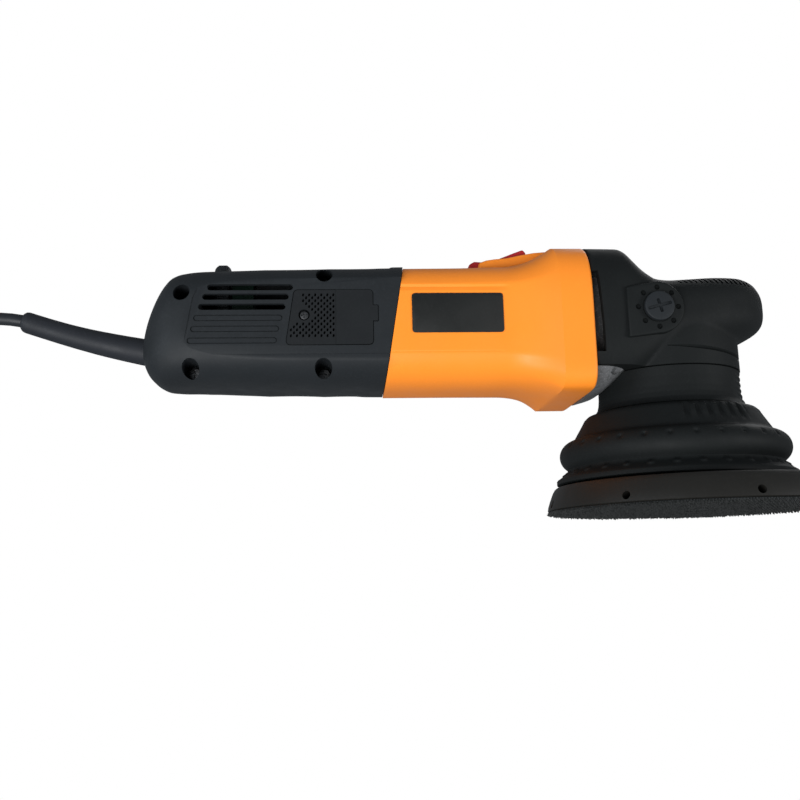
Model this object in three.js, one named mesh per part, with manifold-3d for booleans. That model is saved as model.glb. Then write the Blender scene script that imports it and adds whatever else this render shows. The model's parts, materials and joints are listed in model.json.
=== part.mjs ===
// Dual action polisher: corded, 150 mm pad, 21 mm orbit.
// Frame: millimetres, +X towards the nose, +Z up along the drive spindle, origin on the
// drive axis in the plane of the pad's hook face. The tool's right-hand side is -Y.

import * as THREE from 'three';
import { mergeVertices } from 'three/addons/utils/BufferGeometryUtils.js';
import Module from 'manifold-3d';

const wasm = await Module();
wasm.setup();

// ---- Driving dimensions ----

const TAU = Math.PI * 2;
const GAP = 0.3; // clearance between touching pieces
const FAR = 400; // reach of a cutting block

const ORBIT = 21; // diameter of the pad's orbit
const PAD_OFFSET = ORBIT / 2; // pad axis ahead of the drive axis
const PAD_RADIUS = 75;
const MOTOR_Z = 92.7; // height of the motor axis above the hook face
const WALL = 3; // housing wall

const SEAM_X = -140; // handle meets motor housing, on the motor axis
const SEAM_LEAN = 0.165; // forward lean of that seam per millimetre of height
const FLANGE_X = -45.5; // motor housing meets gear housing
const COVER_SEAM_Z = 68; // lower edge of the head cover
const SHROUD_TOP_Z = 49.4;

const SHAFT_RADIUS = 5;
const SPINDLE_RADIUS = 7.5;
const PINION_TEETH = 8;
const CROWN_TEETH = 32;
const CROWN_RADIUS = 20; // pitch radius at the outer end of the teeth
const PINION_RADIUS = (CROWN_RADIUS * PINION_TEETH) / CROWN_TEETH;

const CORD_DIAMETER = 6.4;
const COIL_RADIUS = 36.8; // to the middle of the wound section
const COIL_CENTRE = [-410, 6];
const GUARD_START = [-252, 80.7]; // x and z on the cord guard's axis, inside the handle
const GUARD_END = [-322.5, 99.6];

// ---- Materials ----

function material(color, roughness, metalness = 0) {
  return new THREE.MeshStandardMaterial({ color, roughness, metalness });
}

const BLACK_PLASTIC = material(0x26292c, 0.5);
const BLACK_RUBBER = material(0x222525, 0.75);
const ORANGE_PLASTIC = material(0xff9a32, 0.4);
const RED_PLASTIC = material(0xb42d2d, 0.4);
const CREAM_PLASTIC = material(0xd8cfb8, 0.6);
const LABEL_FILM = material(0x1c1e1e, 0.35);
const HOOK_NYLON = material(0x1a1c1c, 0.9);
const URETHANE = material(0x2b2b2a, 0.6);
const CIRCUIT_BOARD = material(0x1f5a38, 0.6);
const STEEL = material(0xa9adb0, 0.3, 1);
const DARK_STEEL = material(0x55585b, 0.45, 1);
const ALUMINIUM = material(0x8f9294, 0.45, 1);
const LAMINATION = material(0x6d6f72, 0.5, 1);
const COPPER = material(0xb8703a, 0.4, 1);
const CARBON = material(0x2c2c2e, 0.8);
const BRASS = material(0xc79a4b, 0.35, 1);

// ---- Solids: closed meshes in, closed meshes out ----

function solid(geometry) {
  const bare = geometry.clone();
  bare.deleteAttribute('normal');
  bare.deleteAttribute('uv');
  const merged = mergeVertices(bare, 1e-4);
  const vertProperties = new Float32Array(merged.attributes.position.array);
  const triVerts = new Uint32Array(merged.index.array);
  return new wasm.Manifold(new wasm.Mesh({ numProp: 3, vertProperties, triVerts }));
}

function geometryOf(body) {
  const mesh = body.getMesh();
  const geometry = new THREE.BufferGeometry();
  geometry.setAttribute('position', new THREE.BufferAttribute(mesh.vertProperties, 3));
  geometry.setIndex(new THREE.BufferAttribute(mesh.triVerts, 1));
  return geometry;
}

function cut(body, ...tools) {
  return tools.reduce((rest, tool) => rest.subtract(tool), body);
}

function join(first, ...others) {
  return others.reduce((whole, other) => whole.add(other), first);
}

function block([x0, x1], [y0, y1], [z0, z1]) {
  const geometry = new THREE.BoxGeometry(x1 - x0, y1 - y0, z1 - z0);
  geometry.translate((x0 + x1) / 2, (y0 + y1) / 2, (z0 + z1) / 2);
  return solid(geometry);
}

// A round bar along one axis; centre gives the other two coordinates in x, y, z order.
function bar(axis, radius, [from, to], [u, v] = [0, 0], segments = 16) {
  const geometry = new THREE.CylinderGeometry(radius, radius, to - from, segments);
  const middle = (from + to) / 2;
  if (axis === 'x') {
    geometry.rotateZ(-Math.PI / 2);
    geometry.translate(middle, u, v);
  } else if (axis === 'y') {
    geometry.translate(u, middle, v);
  } else {
    geometry.rotateX(Math.PI / 2);
    geometry.translate(u, v, middle);
  }
  return solid(geometry);
}

// A turned piece about Z. Each profile point is [radius, z]; rings list the outer side
// upwards and then the inner side downwards.
function turned(profile, segments = 28) {
  const points = profile.map(([radius, z]) => new THREE.Vector2(radius, z));
  const geometry = new THREE.LatheGeometry(points, segments);
  geometry.rotateX(Math.PI / 2);
  return solid(geometry);
}

function ring(inner, outer, [from, to], segments = 24) {
  return turned([[inner, from], [outer, from], [outer, to], [inner, to], [inner, from]], segments);
}

// A flat outline extruded along Z, with its own X and Y.
function plate(shape, [from, to], curveSegments = 8) {
  const options = { depth: to - from, bevelEnabled: false, curveSegments };
  const geometry = new THREE.ExtrudeGeometry(shape, options);
  geometry.translate(0, 0, from);
  return solid(geometry);
}

// An outline in X and Z extruded sideways, from one Y to another.
function sidePlate(shape, [from, to], curveSegments = 8) {
  const options = { depth: to - from, bevelEnabled: false, curveSegments };
  const geometry = new THREE.ExtrudeGeometry(shape, options);
  geometry.rotateX(Math.PI / 2);
  geometry.translate(0, to, 0);
  return solid(geometry);
}

function outline(points) {
  return new THREE.Shape(points.map(([x, y]) => new THREE.Vector2(x, y)));
}

function slotOutline([x0, x1], z, width) {
  const shape = new THREE.Shape();
  const radius = width / 2;
  shape.absarc(x1 - radius, z, radius, -Math.PI / 2, Math.PI / 2, false);
  shape.absarc(x0 + radius, z, radius, Math.PI / 2, (Math.PI * 3) / 2, false);
  return shape;
}

// Skins a grid of points: rows are equal loops; the ends are capped, or joined as a ring.
function skin(rows, closed = false) {
  const count = rows[0].length;
  const positions = rows.flat(2);
  const index = [];
  const spans = closed ? rows.length : rows.length - 1;
  for (let row = 0; row < spans; row += 1) {
    const next = (row + 1) % rows.length;
    for (let step = 0; step < count; step += 1) {
      const after = (step + 1) % count;
      const a = row * count + step;
      const b = row * count + after;
      const c = next * count + step;
      const d = next * count + after;
      index.push(a, b, c, b, d, c);
    }
  }
  if (!closed) {
    for (const [row, turn] of [[0, -1], [rows.length - 1, 1]]) {
      const centre = [0, 1, 2].map((axis) => rows[row].reduce((sum, p) => sum + p[axis], 0) / count);
      const hub = positions.length / 3;
      positions.push(...centre);
      for (let step = 0; step < count; step += 1) {
        const here = row * count + step;
        const after = row * count + ((step + 1) % count);
        index.push(hub, ...(turn > 0 ? [here, after] : [after, here]));
      }
    }
  }
  const geometry = new THREE.BufferGeometry();
  geometry.setAttribute('position', new THREE.Float32BufferAttribute(positions, 3));
  geometry.setIndex(index);
  return solid(geometry);
}

// ---- Lofted casings: rounded-square sections along X ----

function section([x, halfWidth, bottom, top, lean = 0], grow, count, power) {
  const round = (value) => Math.sign(value) * Math.abs(value) ** (2 / power);
  const centre = (top + bottom) / 2;
  return Array.from({ length: count }, (_, step) => {
    const angle = ((step + 0.5) / count) * TAU;
    const y = (halfWidth + grow) * round(Math.cos(angle));
    const z = centre + ((top - bottom) / 2 + grow) * round(Math.sin(angle));
    return [x + lean * (z - MOTOR_Z), y, z];
  });
}

function casing(stations, { grow = 0, shift = 0, count = 20, power = 3 } = {}) {
  const moved = stations.map(([x, ...rest]) => [x + shift, ...rest]);
  return skin(moved.map((station) => section(station, grow, count, power)));
}

// Stations are [x, half width, bottom, top, lean].
const HANDLE_STATIONS = [
  [-262, 8, 77, 87],
  [-260.4, 14, 72.6, 92.4],
  [-258.3, 18.5, 68.8, 99],
  [-254.5, 23.2, 65.6, 108],
  [-250.7, 26.2, 64.1, 114.4],
  [-246.9, 28.3, 63.8, 118.2],
  [-240, 29.8, 63.6, 120.2],
  [-215, 30.4, 62.7, 121.1],
  [SEAM_X, 30.5, 61.5, 122.3, SEAM_LEAN],
];

const MOTOR_STATIONS = [
  [SEAM_X + GAP, 30.5, 61.2, 122.3, SEAM_LEAN],
  [-112, 30.6, 61, 122.5],
  [-84, 31, 60.8, 123.4],
  [-75, 33, 59.6, 126],
  [-67, 36.4, 56.8, 130.4],
  [-61.8, 38.4, 55.2, 131.6],
  [FLANGE_X, 38.5, 55.1, 131.6],
];

const COVER_STATIONS = [
  [FLANGE_X + GAP, 38.4, 55, 131.8],
  [-29, 38, 57, 131.6],
  [-26.8, 37.8, 58, 130.6],
  [-20.2, 37.4, 61, 122.4],
  [-15.8, 37.2, 67, 118.4],
  [-10.5, 36.9, 73, 115.2],
  [-3, 36.4, 75, 114.4],
  [6, 35.6, 77, 114.9],
  [20, 33.4, 79.5, 116],
  [31, 29.6, 83, 116.3],
  [38.5, 24.5, 85.4, 115.2],
  [44, 18.5, 88, 112.6],
  [48, 12, 91.5, 109.3],
  [49.7, 6, 97, 105.5],
];

const GEAR_HOUSING_STATIONS = [
  [FLANGE_X + GAP, 34.6, 55.6, 127.6],
  [-38, 34.2, 57.5, 127.2],
  [-32, 33.7, 62, 126.4],
  [-27, 33.2, 66.5, 122.4],
  [-21, 32.7, 70.5, 117],
  [-15, 32.3, 73.5, 113.4],
  [-7, 31.6, 77, 111.4],
  [2, 31, 79.5, 111.4],
  [30, 23, 88.5, 112.2],
  [38, 17, 91.5, 110.5],
  [44, 9, 96, 107],
];

function halfSpace(side, from) {
  const reach = side > 0 ? [from, FAR] : [-FAR, -from];
  return block([-FAR, FAR], reach, [-FAR, FAR]);
}

// ---- The assembly tree: every piece is a named mesh ----

const polisher = new THREE.Group();

const driveGroup = new THREE.Group(); // turns about Z at the origin
const padGroup = new THREE.Group(); // turns about its own Z, carried by the eccentric
padGroup.position.set(PAD_OFFSET, 0, 0);
driveGroup.add(padGroup);

const armatureGroup = new THREE.Group(); // its own Z is the motor axis, pointing forward
armatureGroup.position.set(0, 0, MOTOR_Z);
armatureGroup.rotation.y = Math.PI / 2;

const coilGroup = new THREE.Group(); // the coiled cord, lying beside the tool
coilGroup.position.set(...COIL_CENTRE, 0);

polisher.add(driveGroup, armatureGroup, coilGroup);

function piece(name, body, look, parent = polisher) {
  const geometry = geometryOf(body);
  geometry.computeVertexNormals();
  const mesh = new THREE.Mesh(geometry, look);
  mesh.name = name;
  parent.add(mesh);
  return mesh;
}

const SIDES = [['right', -1], ['left', 1]];

// ---- Handle: two shells, held by four long screws ----

const HANDLE_SCREWS = [[-240.6, 105.3], [-235.4, 70.5], [-174, 69.5], [-173.5, 114]];
const SCREW_HEAD_Y = -9.5; // ledge for the head, inside the right shell
const SCREW_POST = { radius: 5.2, sink: 3.8, hole: 1.8, head: 3.3, shank: 1.5 };
const VENT = {
  count: 6, open: 3, top: 106.9, pitch: 5.18, width: 3, left: -228.4, right: -188.3, lean: 1.6,
};
const COVER_OUTLINE = [[-186.8, 105.8], [-150.6, 105.8], [-150.6, 79.2], [-191.2, 79.2]];
const COVER_TAB = [[-152, 98.2], [-148.2, 98.2], [-148.2, 90.6], [-152, 90.6]];
const COVER_SCREW = [-183, 93.6];
const DIAL = { x: -224.6, z: 115.2, radius: 12.6, width: 7, bore: 2.3 };

function guardTool(grow) {
  const [x0, z0] = GUARD_START;
  const [x1, z1] = GUARD_END;
  const length = Math.hypot(x1 - x0, z1 - z0);
  const profile = [
    [0, 0], [9, 0], [9, 3], [6.6, 3], [6.5, 12], [6.2, 20],
    [5.6, 40], [4.75, length - 1], [4.1, length], [0, length],
  ];
  const grown = profile.map(([radius, z]) => [radius ? radius + grow : 0, z]);
  grown[0][1] -= grow;
  grown[1][1] -= grow;
  grown[2][1] += grow;
  grown[3][1] += grow;
  const points = grown.map(([radius, z]) => new THREE.Vector2(radius, z));
  const geometry = new THREE.LatheGeometry(points, 16);
  geometry.rotateZ(Math.PI / 2 - Math.atan2(z1 - z0, x0 - x1));
  geometry.rotateX(Math.PI / 2);
  geometry.translate(x0, 0, z0);
  return solid(geometry);
}

function grownOutline(points, grow) {
  const middleX = (points[0][0] + points[2][0]) / 2;
  const middleZ = (points[0][1] + points[2][1]) / 2;
  return outline(points.map(([x, z]) => [
    x + Math.sign(x - middleX) * grow,
    z + Math.sign(z - middleZ) * grow,
  ]));
}

function sideSpan(side, inner, outer) {
  return side > 0 ? [inner, outer] : [-outer, -inner];
}

function brushCoverTool(side, grow) {
  const span = sideSpan(side, 28.6 - grow, 40);
  return join(
    sidePlate(grownOutline(COVER_OUTLINE, grow), span),
    sidePlate(grownOutline(COVER_TAB, grow), span),
  );
}

function handleShell(side) {
  const outer = casing(HANDLE_STATIONS);
  const cavity = casing(HANDLE_STATIONS.slice(3), { grow: -WALL, shift: 0.6, count: 16 });
  const { radius, sink, hole } = SCREW_POST;
  const posts = HANDLE_SCREWS.map((place) => {
    return bar('y', radius, sideSpan(side, 0, 40), place, 12).intersect(outer);
  });
  const hollow = join(cut(outer, cavity), ...posts);
  const tools = HANDLE_SCREWS.map((place) => bar('y', hole, [-30, 11], place, 8));
  tools.push(...HANDLE_SCREWS.map((place) => bar('y', sink, [-40, SCREW_HEAD_Y], place, 12)));
  for (let row = 0; row < VENT.count; row += 1) {
    const z = VENT.top - VENT.pitch * row;
    const span = [VENT.left - VENT.lean * row, VENT.right - VENT.lean * row];
    const depth = row < VENT.open ? 20 : 29.4;
    tools.push(sidePlate(slotOutline(span, z, VENT.width), sideSpan(side, depth, 40), 2));
  }
  tools.push(brushCoverTool(side, GAP));
  tools.push(block([-186, -153], sideSpan(side, 20, 40), [83, 88]));
  tools.push(block([-171, -153], sideSpan(side, 20, 40), [83, 102]));
  tools.push(bar('x', DIAL.radius + 0.8, [DIAL.x - 4.2, DIAL.x + 4.2], [0, DIAL.z], 24));
  tools.push(guardTool(GAP));
  tools.push(halfSpace(-side, -GAP / 2));
  return cut(hollow, ...tools);
}

function handleScrew([x, z]) {
  const head = bar('y', SCREW_POST.head, [SCREW_HEAD_Y - 2.6, SCREW_HEAD_Y - GAP], [x, z], 12);
  const shank = bar('y', SCREW_POST.shank, [SCREW_HEAD_Y - 0.5, 10.5], [x, z], 8);
  const recess = [[2, 0.4], [0.4, 2]].map(([u, w]) => {
    return block([x - u, x + u], [SCREW_HEAD_Y - 4, SCREW_HEAD_Y - 1.4], [z - w, z + w]);
  });
  return cut(join(head, shank), ...recess);
}

function brushCover(side) {
  const plateBody = casing(HANDLE_STATIONS).intersect(brushCoverTool(side, 0));
  const [x, z] = COVER_SCREW;
  const hole = bar('y', 1.8, [-40, 40], [x, z], 8);
  const sink = bar('y', 3, sideSpan(side, 29.4, 40), [x, z], 12);
  return cut(plateBody, hole, sink);
}

function brushCoverScrew(side) {
  const [x, z] = COVER_SCREW;
  const head = bar('y', 2.6, sideSpan(side, 29.7, 30.4), [x, z], 10);
  const shank = bar('y', 1.4, sideSpan(side, 28.9, 30), [x, z], 8);
  return join(head, shank);
}

function speedDial() {
  const { radius, width, bore } = DIAL;
  const half = width / 2;
  const edge = radius - 1.4;
  return turned([
    [bore, -half], [edge, -half], [radius, -1.8], [radius, 1.8], [edge, half], [bore, half],
    [bore, -half],
  ], 24);
}

function speedController() {
  const boardBox = block([-222, -188], [-15, 15], [82, 98]);
  const potBody = block([-219.5, -209], [-7, 7], [97, 117.4]);
  const potShaft = bar('x', 2, [-227.4, -219], [0, DIAL.z], 12);
  return join(boardBox, potBody, potShaft);
}

function buildHandle() {
  for (const [word, side] of SIDES) {
    piece(`handle_shell_${word}`, handleShell(side), BLACK_PLASTIC);
    piece(`brush_cover_${word}`, brushCover(side), BLACK_PLASTIC);
    piece(`brush_cover_screw_${word}`, brushCoverScrew(side), DARK_STEEL);
  }
  HANDLE_SCREWS.forEach((place, turn) => {
    piece(`handle_screw_${turn + 1}`, handleScrew(place), DARK_STEEL);
  });
  const dial = piece('speed_dial', speedDial(), BLACK_PLASTIC);
  dial.rotation.y = Math.PI / 2;
  dial.position.set(DIAL.x, 0, DIAL.z);
  piece('speed_controller', speedController(), CIRCUIT_BOARD);
  piece('cord_guard', guardTool(0), BLACK_RUBBER);
}

// ---- Motor housing, label and power switch ----

const BARREL = { rear: -168, outer: 25.6, inner: 23.5 };
const BRUSH_X = -151.5;
const SWITCH = { rear: -102.6, front: -70.6, halfWidth: 7.5, pivot: [-86, 121.5] };
const LABEL = { x: [-132.1, -88.3], z: [84.6, 104] };
const FLANGE_SCREWS = [[24.4, 24.4], [24.4, -24.4], [-24.4, 24.4], [-24.4, -24.4]];

// The raised cheeks that flank the switch, seen from the side.
const CHEEKS = [
  [-99, 116], [-98, 125], [-94, 126.4], [-88, 127], [-82, 127.6],
  [-75, 129.2], [-68, 130], [-62, 131.2], [-62, 116],
];

function motorHousing() {
  const outer = join(
    casing(MOTOR_STATIONS),
    sidePlate(outline(CHEEKS), [-12, 12]),
    bar('x', BARREL.outer, [BARREL.rear, SEAM_X + 12], [0, MOTOR_Z], 24),
  );
  const hollow = cut(
    outer,
    casing(MOTOR_STATIONS.slice(1), { grow: -WALL, shift: 0.1, count: 16 }),
    casing([[-139, 28, 64.7, 120.7], [-100, 28, 64.7, 120.7]], { count: 20, power: 2 }),
    bar('x', BARREL.inner, [BARREL.rear + 10.5, -130], [0, MOTOR_Z], 24),
    bar('x', 11.3, [BARREL.rear + 2.5, -150], [0, MOTOR_Z], 20),
    bar('x', 6, [BARREL.rear - 1, -150], [0, MOTOR_Z], 12),
  );
  const bosses = FLANGE_SCREWS.map(([y, z]) => {
    const boss = bar('x', 6, [-62, FLANGE_X], [y, MOTOR_Z + z], 10);
    return boss.intersect(casing(MOTOR_STATIONS));
  });
  const tools = FLANGE_SCREWS.map(([y, z]) => bar('x', 1.9, [-60, 0], [y, MOTOR_Z + z], 8));
  for (const [, side] of SIDES) {
    tools.push(block([BRUSH_X - 4.4, BRUSH_X + 4.4], sideSpan(side, 10, 40), [86.2, 99.2]));
  }
  const { rear, front, halfWidth } = SWITCH;
  const well = [-halfWidth - GAP, halfWidth + GAP];
  tools.push(block([rear - 0.4, front + 1.6], well, [105, 160]));
  tools.push(bar('y', 1.7, [-10.5, 10.5], SWITCH.pivot, 14));
  return cut(join(hollow, ...bosses), ...tools);
}

function ratingLabel() {
  const [x0, x1] = LABEL.x;
  const [z0, z1] = LABEL.z;
  const outer = casing(MOTOR_STATIONS, { grow: 0.7 });
  const inner = casing(MOTOR_STATIONS, { grow: GAP });
  return cut(outer.intersect(block([x0, x1], [-40, -20], [z0, z1])), inner);
}

function switchRocker() {
  const side = outline([
    [-102.2, 120.4], [-102, 123], [-100.6, 126.6], [-98, 128], [-95, 127.8], [-89, 126.8],
    [-82, 129], [-75, 132.2], [-71.4, 133.4], [-71, 129], [-73, 121],
    [-80, 118.4], [-94, 118.4], [-98, 120.4],
  ]);
  const body = sidePlate(side, [-SWITCH.halfWidth, SWITCH.halfWidth]);
  const pin = bar('y', 1.4, [-10.2, 10.2], SWITCH.pivot, 14);
  return join(body, pin);
}

function buildMotorHousing() {
  piece('motor_housing', motorHousing(), ORANGE_PLASTIC);
  piece('rating_label', ratingLabel(), LABEL_FILM);
  piece('switch_rocker', switchRocker(), RED_PLASTIC);
  piece('switch_body', block([-96, -74], [-7.2, 7.2], [105.4, 114]), BLACK_PLASTIC);
}

// ---- Motor: field, armature, commutator, brushes, fan and bearings ----

const CORE = [-134, -102]; // length of both lamination packs
const FIELD_RADIUS = 26.9;
const ROTOR_RADIUS = 15.6;
const COIL_SPAN = [-138.5, -97.5];
const FAN = { span: [-67, -56], radius: 27.8, blades: 9 };

function sectorShape(inner, outer, from, to) {
  const shape = new THREE.Shape();
  shape.absarc(0, 0, outer, from, to, false);
  shape.absarc(0, 0, inner, to, from, true);
  return shape;
}

// A sector of a tube about the motor axis, in the armature group's frame.
function sector(inner, outer, from, to, span, curveSegments = 12) {
  return plate(sectorShape(inner, outer, from, to), span, curveSegments);
}

function fieldCore() {
  const tube = ring(ROTOR_RADIUS + 0.7, FIELD_RADIUS, CORE, 28);
  const half = THREE.MathUtils.degToRad(31);
  const windows = [TAU / 4, -TAU / 4].map((middle) => {
    return sector(ROTOR_RADIUS, 23.6, middle - half, middle + half, [-150, -90], 8);
  });
  return cut(tube, ...windows);
}

// One saddle coil round a pole, centred on the angle middle; the upper pole is at local -X.
function fieldCoil(middle) {
  const half = THREE.MathUtils.degToRad(88);
  const eye = THREE.MathUtils.degToRad(61);
  const whole = sector(17.2, 23.2, middle - half, middle + half, COIL_SPAN, 8);
  const [from, to] = COIL_SPAN;
  return cut(whole, sector(10, 30, middle - eye, middle + eye, [from + 4.1, to - 4.1], 6));
}

// Teeth taper towards the point where the two axes meet, so both gears scale about it.
const TOOTH = { addendum: 0.75, dedendum: 0.98, inner: 0.68 };

function pinion() {
  const rows = [];
  for (const scale of [1, TOOTH.inner]) {
    const row = [];
    for (let tooth = 0; tooth < PINION_TEETH; tooth += 1) {
      const middle = (tooth / PINION_TEETH) * TAU;
      const tip = (PINION_RADIUS + TOOTH.addendum) * scale;
      const root = (PINION_RADIUS - TOOTH.dedendum) * scale;
      for (const [half, radius] of [[-13, root], [-4.6, tip], [4.6, tip], [13, root]]) {
        const angle = middle + THREE.MathUtils.degToRad(half);
        row.push([radius * Math.cos(angle), radius * Math.sin(angle), -CROWN_RADIUS * scale]);
      }
    }
    rows.push(row);
  }
  const teeth = skin(rows);
  const hub = bar('z', 4.4, [-24, -CROWN_RADIUS + 0.01], [0, 0], 20);
  return join(teeth, hub);
}

function crownGear() {
  const bore = SPINDLE_RADIUS + GAP;
  const inner = 13.4;
  const base = MOTOR_Z - 15;
  const root = PINION_RADIUS + TOOTH.dedendum;
  const tip = PINION_RADIUS - TOOTH.addendum;
  const rows = [];
  for (let tooth = 0; tooth < CROWN_TEETH; tooth += 1) {
    const middle = ((tooth + 0.5) / CROWN_TEETH) * 360;
    for (const [half, drop] of [[-3, root], [-1.25, tip], [1.25, tip], [3, root]]) {
      const angle = THREE.MathUtils.degToRad(middle + half);
      const profile = [
        [bore, base],
        [inner, MOTOR_Z - (drop * inner) / CROWN_RADIUS],
        [CROWN_RADIUS, MOTOR_Z - drop],
        [CROWN_RADIUS, base],
      ];
      rows.push(profile.map(([radius, z]) => [radius * Math.cos(angle), radius * Math.sin(angle), z]));
    }
  }
  return skin(rows, true);
}

function armatureShaft() {
  return turned([
    [0, -170], [3.5, -170], [3.5, -157.4], [SHAFT_RADIUS, -157.4],
    [SHAFT_RADIUS, -24.6], [0, -24.6],
  ], 20);
}

function fan() {
  const [rear, front] = FAN.span;
  const disc = ring(SHAFT_RADIUS + GAP, FAN.radius, [front - 1.8, front], 24);
  const hub = ring(SHAFT_RADIUS + GAP, 9, [rear, front], 16);
  const blades = [];
  for (let blade = 0; blade < FAN.blades; blade += 1) {
    const angle = (blade / FAN.blades) * TAU;
    const geometry = new THREE.BoxGeometry(FAN.radius - 12, 1.4, front - rear - 1);
    geometry.translate(12 + (FAN.radius - 12) / 2 - 0.6, 0, (front + rear - 1) / 2);
    geometry.rotateZ(angle);
    blades.push(solid(geometry));
  }
  return join(disc, hub, ...blades);
}

function buildMotor() {
  piece('field_core', fieldCore(), LAMINATION, armatureGroup);
  piece('field_coil_upper', fieldCoil(Math.PI), COPPER, armatureGroup);
  piece('field_coil_lower', fieldCoil(0), COPPER, armatureGroup);
  piece('armature_shaft', armatureShaft(), STEEL, armatureGroup);
  piece('armature_core', ring(SHAFT_RADIUS + GAP, ROTOR_RADIUS, CORE, 24), LAMINATION, armatureGroup);
  piece('commutator', ring(SHAFT_RADIUS + GAP, 11, [-157, -144.5], 20), COPPER, armatureGroup);
  piece('fan', fan(), CREAM_PLASTIC, armatureGroup);
  // The notch in its upper edge clears the switch rocker's tail.
  const baffle = cut(ring(19, 30.2, [-72, -70], 28), block([-40, -23], [-9, 9], [-80, -60]));
  piece('fan_baffle', baffle, BLACK_PLASTIC, armatureGroup);
  piece('rear_motor_bearing', ring(3.8, 11, [-165, -158], 20), STEEL, armatureGroup);
  piece('front_motor_bearing', ring(SHAFT_RADIUS + GAP, 13, [-45, -37.4], 20), STEEL, armatureGroup);
  piece('pinion', pinion(), DARK_STEEL, armatureGroup);
  for (const [word, side] of SIDES) {
    const brush = block([BRUSH_X - 2.6, BRUSH_X + 2.6], sideSpan(side, 11.3, 22), [88.2, 97.2]);
    const tube = block([BRUSH_X - 4, BRUSH_X + 4], sideSpan(side, 13, 25.4), [86.6, 98.8]);
    const channel = block([BRUSH_X - 2.9, BRUSH_X + 2.9], sideSpan(side, 5, 24), [87.9, 97.5]);
    piece(`carbon_brush_${word}`, brush, CARBON);
    piece(`brush_holder_${word}`, cut(tube, channel), BRASS);
  }
}

// ---- Head: gear housing, spindle, bearings, cover and side-handle plugs ----

const HANDLE_BOSS = { x: -15.9, z: 94.2, radius: 13.4, rear: -30.9, face: 39.6 };
const NECK_RADIUS = 31;

function gearHousingBlock(grow) {
  return join(
    casing(GEAR_HOUSING_STATIONS, { grow, count: 16 }),
    bar('z', NECK_RADIUS + grow, [46, 105.5], [0, 0], 24),
  );
}

function gearHousing() {
  const body = join(gearHousingBlock(0), bar('z', 36.4, [46, SHROUD_TOP_Z], [0, 0], 24));
  const cavity = turned([
    [0, 40], [27.3, 40], [27.3, 69], [24.5, 69], [24.5, 101.5], [8.6, 101.5], [8.6, 109], [0, 109],
  ], 24);
  const tools = [
    cavity,
    bar('x', 13.3, [-60, -37.1], [0, MOTOR_Z], 20),
    bar('x', 8, [-40, -20], [0, MOTOR_Z], 12),
  ];
  for (const [y, z] of FLANGE_SCREWS) {
    tools.push(bar('x', 1.9, [-60, 0], [y, MOTOR_Z + z], 8));
    tools.push(bar('x', 3.4, [-39.5, 20], [y, MOTOR_Z + z], 10));
  }
  for (const [, side] of SIDES) {
    tools.push(bar('y', 5, sideSpan(side, 23.4, 40), [HANDLE_BOSS.x, HANDLE_BOSS.z], 12));
  }
  return cut(body, ...tools);
}

function bossOutline() {
  const { x, z, radius, rear } = HANDLE_BOSS;
  const shape = new THREE.Shape();
  shape.moveTo(rear, z - 14.6);
  shape.lineTo(x, z - radius);
  shape.absarc(x, z, radius, -Math.PI / 2, Math.PI / 2, false);
  shape.lineTo(rear, z + 10);
  return shape;
}

function headCover() {
  const upper = casing(COVER_STATIONS, { count: 22 });
  const neck = bar('z', 35.2, [COVER_SEAM_Z, 100], [0, 0], 24);
  const bosses = SIDES.map(([, side]) => {
    return sidePlate(bossOutline(), sideSpan(side, 30, HANDLE_BOSS.face), 7);
  });
  const tools = [
    gearHousingBlock(GAP),
    block([-FAR, FAR], [-FAR, FAR], [-FAR, COVER_SEAM_Z]),
  ];
  for (const [, side] of SIDES) {
    const centre = [HANDLE_BOSS.x, HANDLE_BOSS.z];
    tools.push(bar('y', 5, sideSpan(side, 20, 50), centre, 16));
    tools.push(bar('y', 7.5, sideSpan(side, HANDLE_BOSS.face - 0.5, 50), centre, 20));
    tools.push(block([-60, -41.4], sideSpan(side, 34, 50), [73.6, 113.2]));
  }
  return cut(join(upper, neck, ...bosses), ...tools);
}

function handlePlug(side) {
  const { x, z, face } = HANDLE_BOSS;
  const shank = bar('y', 4.7, sideSpan(side, 24, face + 1), [x, z], 12);
  const head = bar('y', 7.1, sideSpan(side, face - 0.2, face + 2.6), [x, z], 20);
  const slots = [[4.6, 0.8], [0.8, 4.6]].map(([u, w]) => {
    return block([x - u, x + u], sideSpan(side, face + 1.4, face + 5), [z - w, z + w]);
  });
  return cut(join(shank, head), ...slots);
}

function flangeScrew([y, z]) {
  const height = MOTOR_Z + z;
  const head = bar('x', 3, [-39.2, -36.2], [y, height], 10);
  const shank = bar('x', 1.5, [-57, -39], [y, height], 8);
  return join(head, shank);
}

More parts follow.
